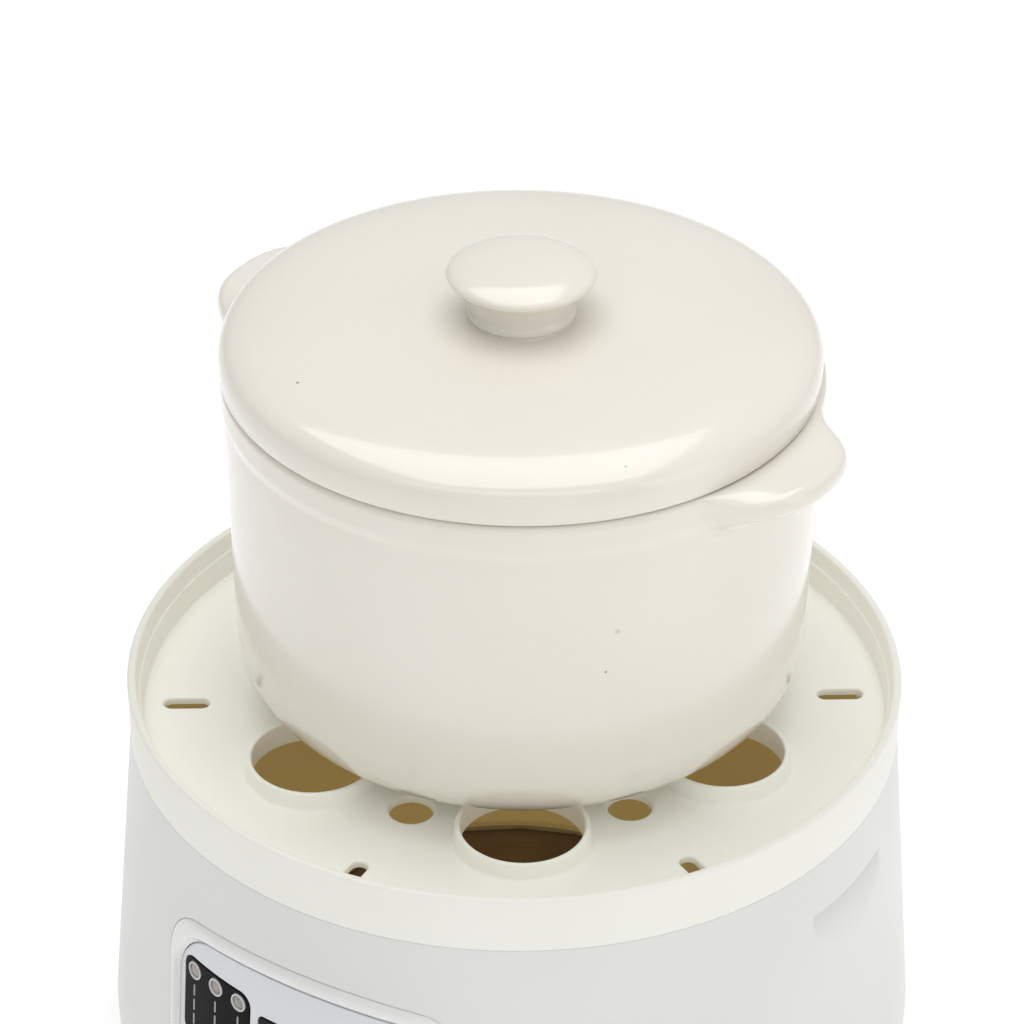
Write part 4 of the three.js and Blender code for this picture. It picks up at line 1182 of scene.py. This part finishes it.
# ---------------------------------------------------------------- water tank and heating plate
def build_tank():
    top = tank_high[2]
    flange = tank_high[0]
    mouth, floor, well, low = 125.0, plate_high[2] + 5.3, 81.0, 108.0
    corner = 24.0
    centre = (low - corner, floor + corner)
    outer_arc = [p for p in arc(centre, corner + 2.2, 0, -90, 14) if p[1] > floor - 2.0]
    profile = rounded([
        *arc(centre, corner, -90, 0, 14), (low + 1.0, floor + corner + 16), (113.0, parting - 39.0, 30.0),
        (mouth - 3.0, parting - 13.0, 8.0), (mouth, parting - 7.0, 3.0), (mouth, top, 0.6),
        (flange, top, 0.3), (flange, top - 2.9, 0.3), (mouth + 2.2, top - 2.9, 0.3),
        (mouth + 2.2, parting - 7.5, 3.0),
        (mouth - 0.8, parting - 13.0, 8.0), (115.2, parting - 39.0, 20.0), *outer_arc,
        (well + 6.0, floor - 3.0), (well, floor - 3.0, 0.5), (well, floor, 1.2),
    ])
    shell = Shell().turn(profile, closed=True, columns=192)
    piece("tank", shell, "base", "tank_plastic", ["water_tank"])


def build_heating_plate():
    top, bottom, radius = plate_high[2], plate_low[2], plate_high[0]
    profile = rounded([(0.0, top), (14.0, top), (16.0, top - 0.5, 1.0), (18.0, top, 1.0), (70.0, top, 1.0),
                       (72.0, top - 0.6, 1.0), (74.0, top, 1.0), (radius, top, 0.6), (radius, bottom, 0.6),
                       (0.0, bottom)], closed=False)
    shell = Shell().turn(profile, closed=False, columns=160)
    piece("plate", shell, "base", "plate_metal", ["heating_plate"])


# ---------------------------------------------------------------- underside
screw_inset = 13.5  # of the cover's screws, from the bottom edge
foot_ring = 112.0


def build_cover():
    """Bottom cover with four screw wells, four holes for the feet and a row of air slots."""
    radius = cover_high[0]
    top = foot_height + 3.0
    under = foot_height
    rim = [(-1.4, under), (-0.8, under), (-0.4, under + 0.1), (-0.1, under + 0.4), (0.0, under + 0.8),
           (0.0, top)]
    screw_hole = [(0.9, under), (0.4, under), (0.12, under + 0.12), (0.0, under + 0.4), (0.0, under + 2.1),
                  (-1.7, under + 2.1), (-1.8, under + 2.3), (-1.8, top)]

    def hole(size):
        return [(size + 0.5, under), (size, under), (size * 0.3, under + size * 0.3), (0.0, under + size),
                (0.0, top)]

    borders = [edge_of(circle(0, 0, radius, COLUMNS), rim, flat_at)]
    for angle in (30, 150, 210, 330):
        x, y = from_front(angle, bottom_radius - screw_inset)
        borders.append(edge_of(circle(x, y, 3.7, 32), screw_hole, flat_at))
    for i in range(4):
        x, y = from_front(45 + 90 * i, foot_ring)
        borders.append(edge_of(circle(x, y, 3.3, 24), hole(0.3), flat_at))
    for i in range(-3, 4):
        slot = round_rectangle(i * 10 - 1.6, i * 10 + 1.6, -22.0, 22.0, 1.5, 2.0, 6)
        borders.append(edge_of(slot, hole(0.4), flat_at))
    points = grid(-radius, radius, -radius, radius, 9.0)
    shell = flat_plate(borders, under, top, points)
    piece("underside_cover", shell, "base", "housing_plastic", ["bottom_cover"])


def build_feet():
    """Rubber feet with a chamfer, a dished sole and two grip rings."""
    for i in range(1, 5):
        low, high = span(f"foot_{i}")
        centre = (low + high) / 2
        radius = (high[0] - low[0]) / 2
        top = foot_height - gap
        profile = rounded([
            (0.0, 0.7), (3.4, 0.7, 0.3), (3.9, 0.0, 0.3), (5.2, 0.0, 0.3), (5.6, 0.6, 0.2), (6.4, 0.6, 0.2),
            (6.8, 0.0, 0.3), (radius - 1.2, 0.0, 0.8), (radius - 0.1, 1.6, 0.8), (radius - 0.5, top, 0.4),
            (3.0, top), (3.0, high[2], 0.3), (0.0, high[2]),
        ], closed=False)
        shell = Shell().turn(profile, closed=False, columns=64, centre=centre[:2])
        piece(f"rubber_foot_{i}", shell, "base", "rubber", [f"foot_{i}"])


def build_cover_screws():
    """Pan-head screws with a cross recess."""
    for i in range(1, 5):
        low, high = span(f"cover_screw_{i}")
        centre = (low + high) / 2
        radius = (high[0] - low[0]) / 2
        head = low[2]
        seat = head + 1.8
        shell = Shell()
        count = 48
        a = np.linspace(0, TAU, count, endpoint=False)
        blade = 0.42
        arms = np.minimum(1.7, blade / np.maximum(np.minimum(np.abs(np.sin(a)), np.abs(np.cos(a))), 1e-3))
        recess = np.stack([centre[0] + arms * np.cos(a), centre[1] + arms * np.sin(a)], 1)

        def level(reach, z):
            return flat_at(centre[0] + reach * np.cos(a), centre[1] + reach * np.sin(a), z)

        deep = np.hstack([centre[:2] + (recess - centre[:2]) * 0.75, np.full((count, 1), head + 1.2)])
        edge = np.hstack([recess, np.full((count, 1), head + 0.05)])
        rings = [deep, edge, level(radius * 0.62, head + 0.06), level(radius * 0.8, head + 0.25),
                 level(radius * 0.93, head + 0.6), level(radius, head + 1.1), level(radius, seat),
                 level(1.6, seat), level(1.6, high[2] - 1.0), level(0.9, high[2])]
        ids = [shell.ring(ring) for ring in rings]
        for first, second in zip(ids, ids[1:]):
            shell.strip(first, second)
        shell.fan(ids[0], shell.ring([(centre[0], centre[1], head + 1.35)])[0])
        shell.fan(ids[-1], shell.ring([(centre[0], centre[1], high[2])])[0])
        piece(f"pan_screw_{i}", shell, "base", "steel", [f"cover_screw_{i}"])


# ---------------------------------------------------------------- mains inlet
inlet_mid = 30.0
inlet_half = inlet_high[0] - 3.0
inlet_tall = (inlet_high[2] - inlet_low[2]) / 2 - 3.0
inlet_face = inlet_high[1]


def at_back(x, z, y):
    return np.stack([np.asarray(x, float), np.full(len(x), float(y)), np.asarray(z, float)], 1)


def build_inlet():
    """Appliance inlet: a flanged body with a deep socket that has rounded corners."""
    back = inlet_face - 24.0
    flange_back, flange_front = back_flange()
    outer = round_rectangle(-inlet_half, inlet_half, inlet_mid - inlet_tall, inlet_mid + inlet_tall,
                            4.0, 1.5, 8)
    socket = round_rectangle(-inlet_half + 2.5, inlet_half - 2.5, inlet_mid - inlet_tall + 4,
                             inlet_mid + inlet_tall - 4, 4.0, 1.5, 8)
    body = [(-1.2, inlet_face), (-0.7, inlet_face), (-0.2, inlet_face - 0.2), (0.0, inlet_face - 0.7),
            (0.0, flange_front), (2.6, flange_front), (3.0, flange_front - 0.4), (3.0, flange_back + 0.4),
            (2.6, flange_back), (0.0, flange_back), (0.0, back)]
    cup = [(1.3, inlet_face), (0.8, inlet_face), (0.2, inlet_face - 0.25), (0.0, inlet_face - 0.8),
           (0.0, inlet_face - 16.6), (-0.4, inlet_face - 17.0)]
    borders = [edge_of(outer, body, at_back), edge_of(socket, cup, at_back, pocket=True)]
    shell = Shell().plate(borders, lambda x, z: at_back(x, z, inlet_face), lambda x, z: at_back(x, z, back))
    piece("inlet", shell, "base", "component_plastic", ["mains_inlet"])


def back_flange():
    flange_x = inlet_half + 3.0
    inside_wall = float(housing_radius(inlet_mid - inlet_tall - 3.0)) - wall
    front = math.sqrt(inside_wall ** 2 - flange_x ** 2) - 2 * gap
    return front - 3.0, front


def build_pins():
    """Flat contact blades with tapered tips."""
    for name in ("earth", "live", "neutral"):
        node = f"inlet_pin_{name}"
        low, high = span(node)
        outline = round_rectangle(low[0], high[0], low[2], high[2], 0.3, 1.0, 3)
        profile = [(-0.55, high[1]), (-0.4, high[1] - 0.1), (-0.15, high[1] - 0.8), (0.0, high[1] - 1.8),
                   (0.0, low[1] + 0.4), (-0.3, low[1])]
        shell = Shell().plate([edge_of(outline, profile, at_back)],
                              lambda x, z: at_back(x, z, high[1]), lambda x, z: at_back(x, z, low[1]))
        piece(f"blade_{name}", shell, "base", "brass", [node])


# ---------------------------------------------------------------- CAD nodes that stay
def dress_cad_nodes():
    """Gives every carried-over CAD node the procedural finish of its slot."""
    slots = {entry["node"]: entry["material_slot"] for entry in frame["record"]["subparts"]}
    for name, obj in frame["nodes"].items():
        obj.data.materials.clear()
        obj.data.materials.append(finishes[slots[name]])


# ---------------------------------------------------------------- studio
def build_stage():
    shell = Shell()
    profile = [(r, 0.0) for r in (0.0, 400.0, 1200.0, 6000.0)]
    shell.turn(profile, closed=False, columns=96)
    mesh = bpy.data.meshes.new("floor")
    mesh.from_pydata([tuple(c * MM for c in p) for p in shell.points], [], shell.faces)
    mesh.materials.append(studio_floor())
    floor = bpy.data.objects.new("floor", mesh)
    bpy.context.scene.collection.objects.link(floor)


def area_light(name, place, target, size, power):
    light = bpy.data.lights.new(name, "AREA")
    light.shape = "RECTANGLE"
    light.size, light.size_y = size
    light.energy = power
    obj = bpy.data.objects.new(name, light)
    bpy.context.scene.collection.objects.link(obj)
    obj.location = place
    obj.rotation_euler = (Vector(target) - Vector(place)).to_track_quat("-Z", "Y").to_euler()


def build_lights():
    """A softbox over the front, one overhead, two weak fills, and a surround that is dimmer on the left."""
    middle = (0, 0, 0.2)  # metres, as are the lights' places and sizes
    area_light("front", (0.45, -1.0, 1.65), middle, (2.0, 0.5), 2.8)
    area_light("right", (1.65, 0.1, 0.75), middle, (0.8, 1.2), 2.7)
    area_light("top", (-0.2, 0.2, 1.9), middle, (1.6, 1.6), 16)
    area_light("fill", (0.93, -1.49, 0.5), middle, (1.4, 0.9), 1.9)
    world = bpy.data.worlds.new("studio")
    world.use_nodes = True
    tree = world.node_tree
    background = tree.nodes["Background"]
    background.inputs["Color"].default_value = (1, 1, 1, 1)
    direction = tree.nodes.new("ShaderNodeTexCoord").outputs["Generated"]
    leftward = tree.nodes.new("ShaderNodeVectorMath")
    leftward.operation = "DOT_PRODUCT"
    leftward.inputs[1].default_value = (-0.85, -0.53, 0.0)
    strength = tree.nodes.new("ShaderNodeMapRange")
    for key, value in (("From Min", 0.0), ("From Max", 1.0), ("To Min", 0.57), ("To Max", 0.38)):
        strength.inputs[key].default_value = value
    tree.links.new(direction, leftward.inputs[0])
    tree.links.new(leftward.outputs["Value"], strength.inputs["Value"])
    tree.links.new(strength.outputs["Result"], background.inputs["Strength"])
    bpy.context.scene.world = world


def build_camera():
    azimuth, elevation, distance = math.radians(32), math.radians(34.97), 1.5
    away = Vector((math.sin(azimuth) * math.cos(elevation), -math.cos(azimuth) * math.cos(elevation),
                   math.sin(elevation)))
    right = Vector((math.cos(azimuth), math.sin(azimuth), 0))
    up = right.cross(-away)
    pivot = Vector((0, 0, rim_top * MM))
    target = pivot + up * 0.0523 - right * 0.0013
    camera = bpy.data.objects.new("camera", bpy.data.cameras.new("camera"))
    bpy.context.scene.collection.objects.link(camera)
    camera.location = pivot + away * distance
    turn = (target - camera.location).to_track_quat("-Z", "Y")
    camera.rotation_euler = turn.to_euler()
    camera.rotation_euler.rotate_axis("Z", math.radians(0.44))
    camera.data.lens = 150.9
    camera.data.sensor_width = 36
    bpy.context.scene.camera = camera


build_housing()
build_bezel()
build_fascia()
build_strips()
build_lamps()
build_marks()
build_display()
build_segments()
build_buttons()
build_tray()
build_crock()
build_lid()
build_tank()
build_heating_plate()
build_cover()
build_feet()
build_cover_screws()
build_inlet()
build_pins()
dress_cad_nodes()
build_stage()
build_lights()
build_camera()
bpy.context.scene.view_settings.view_transform = "Standard"
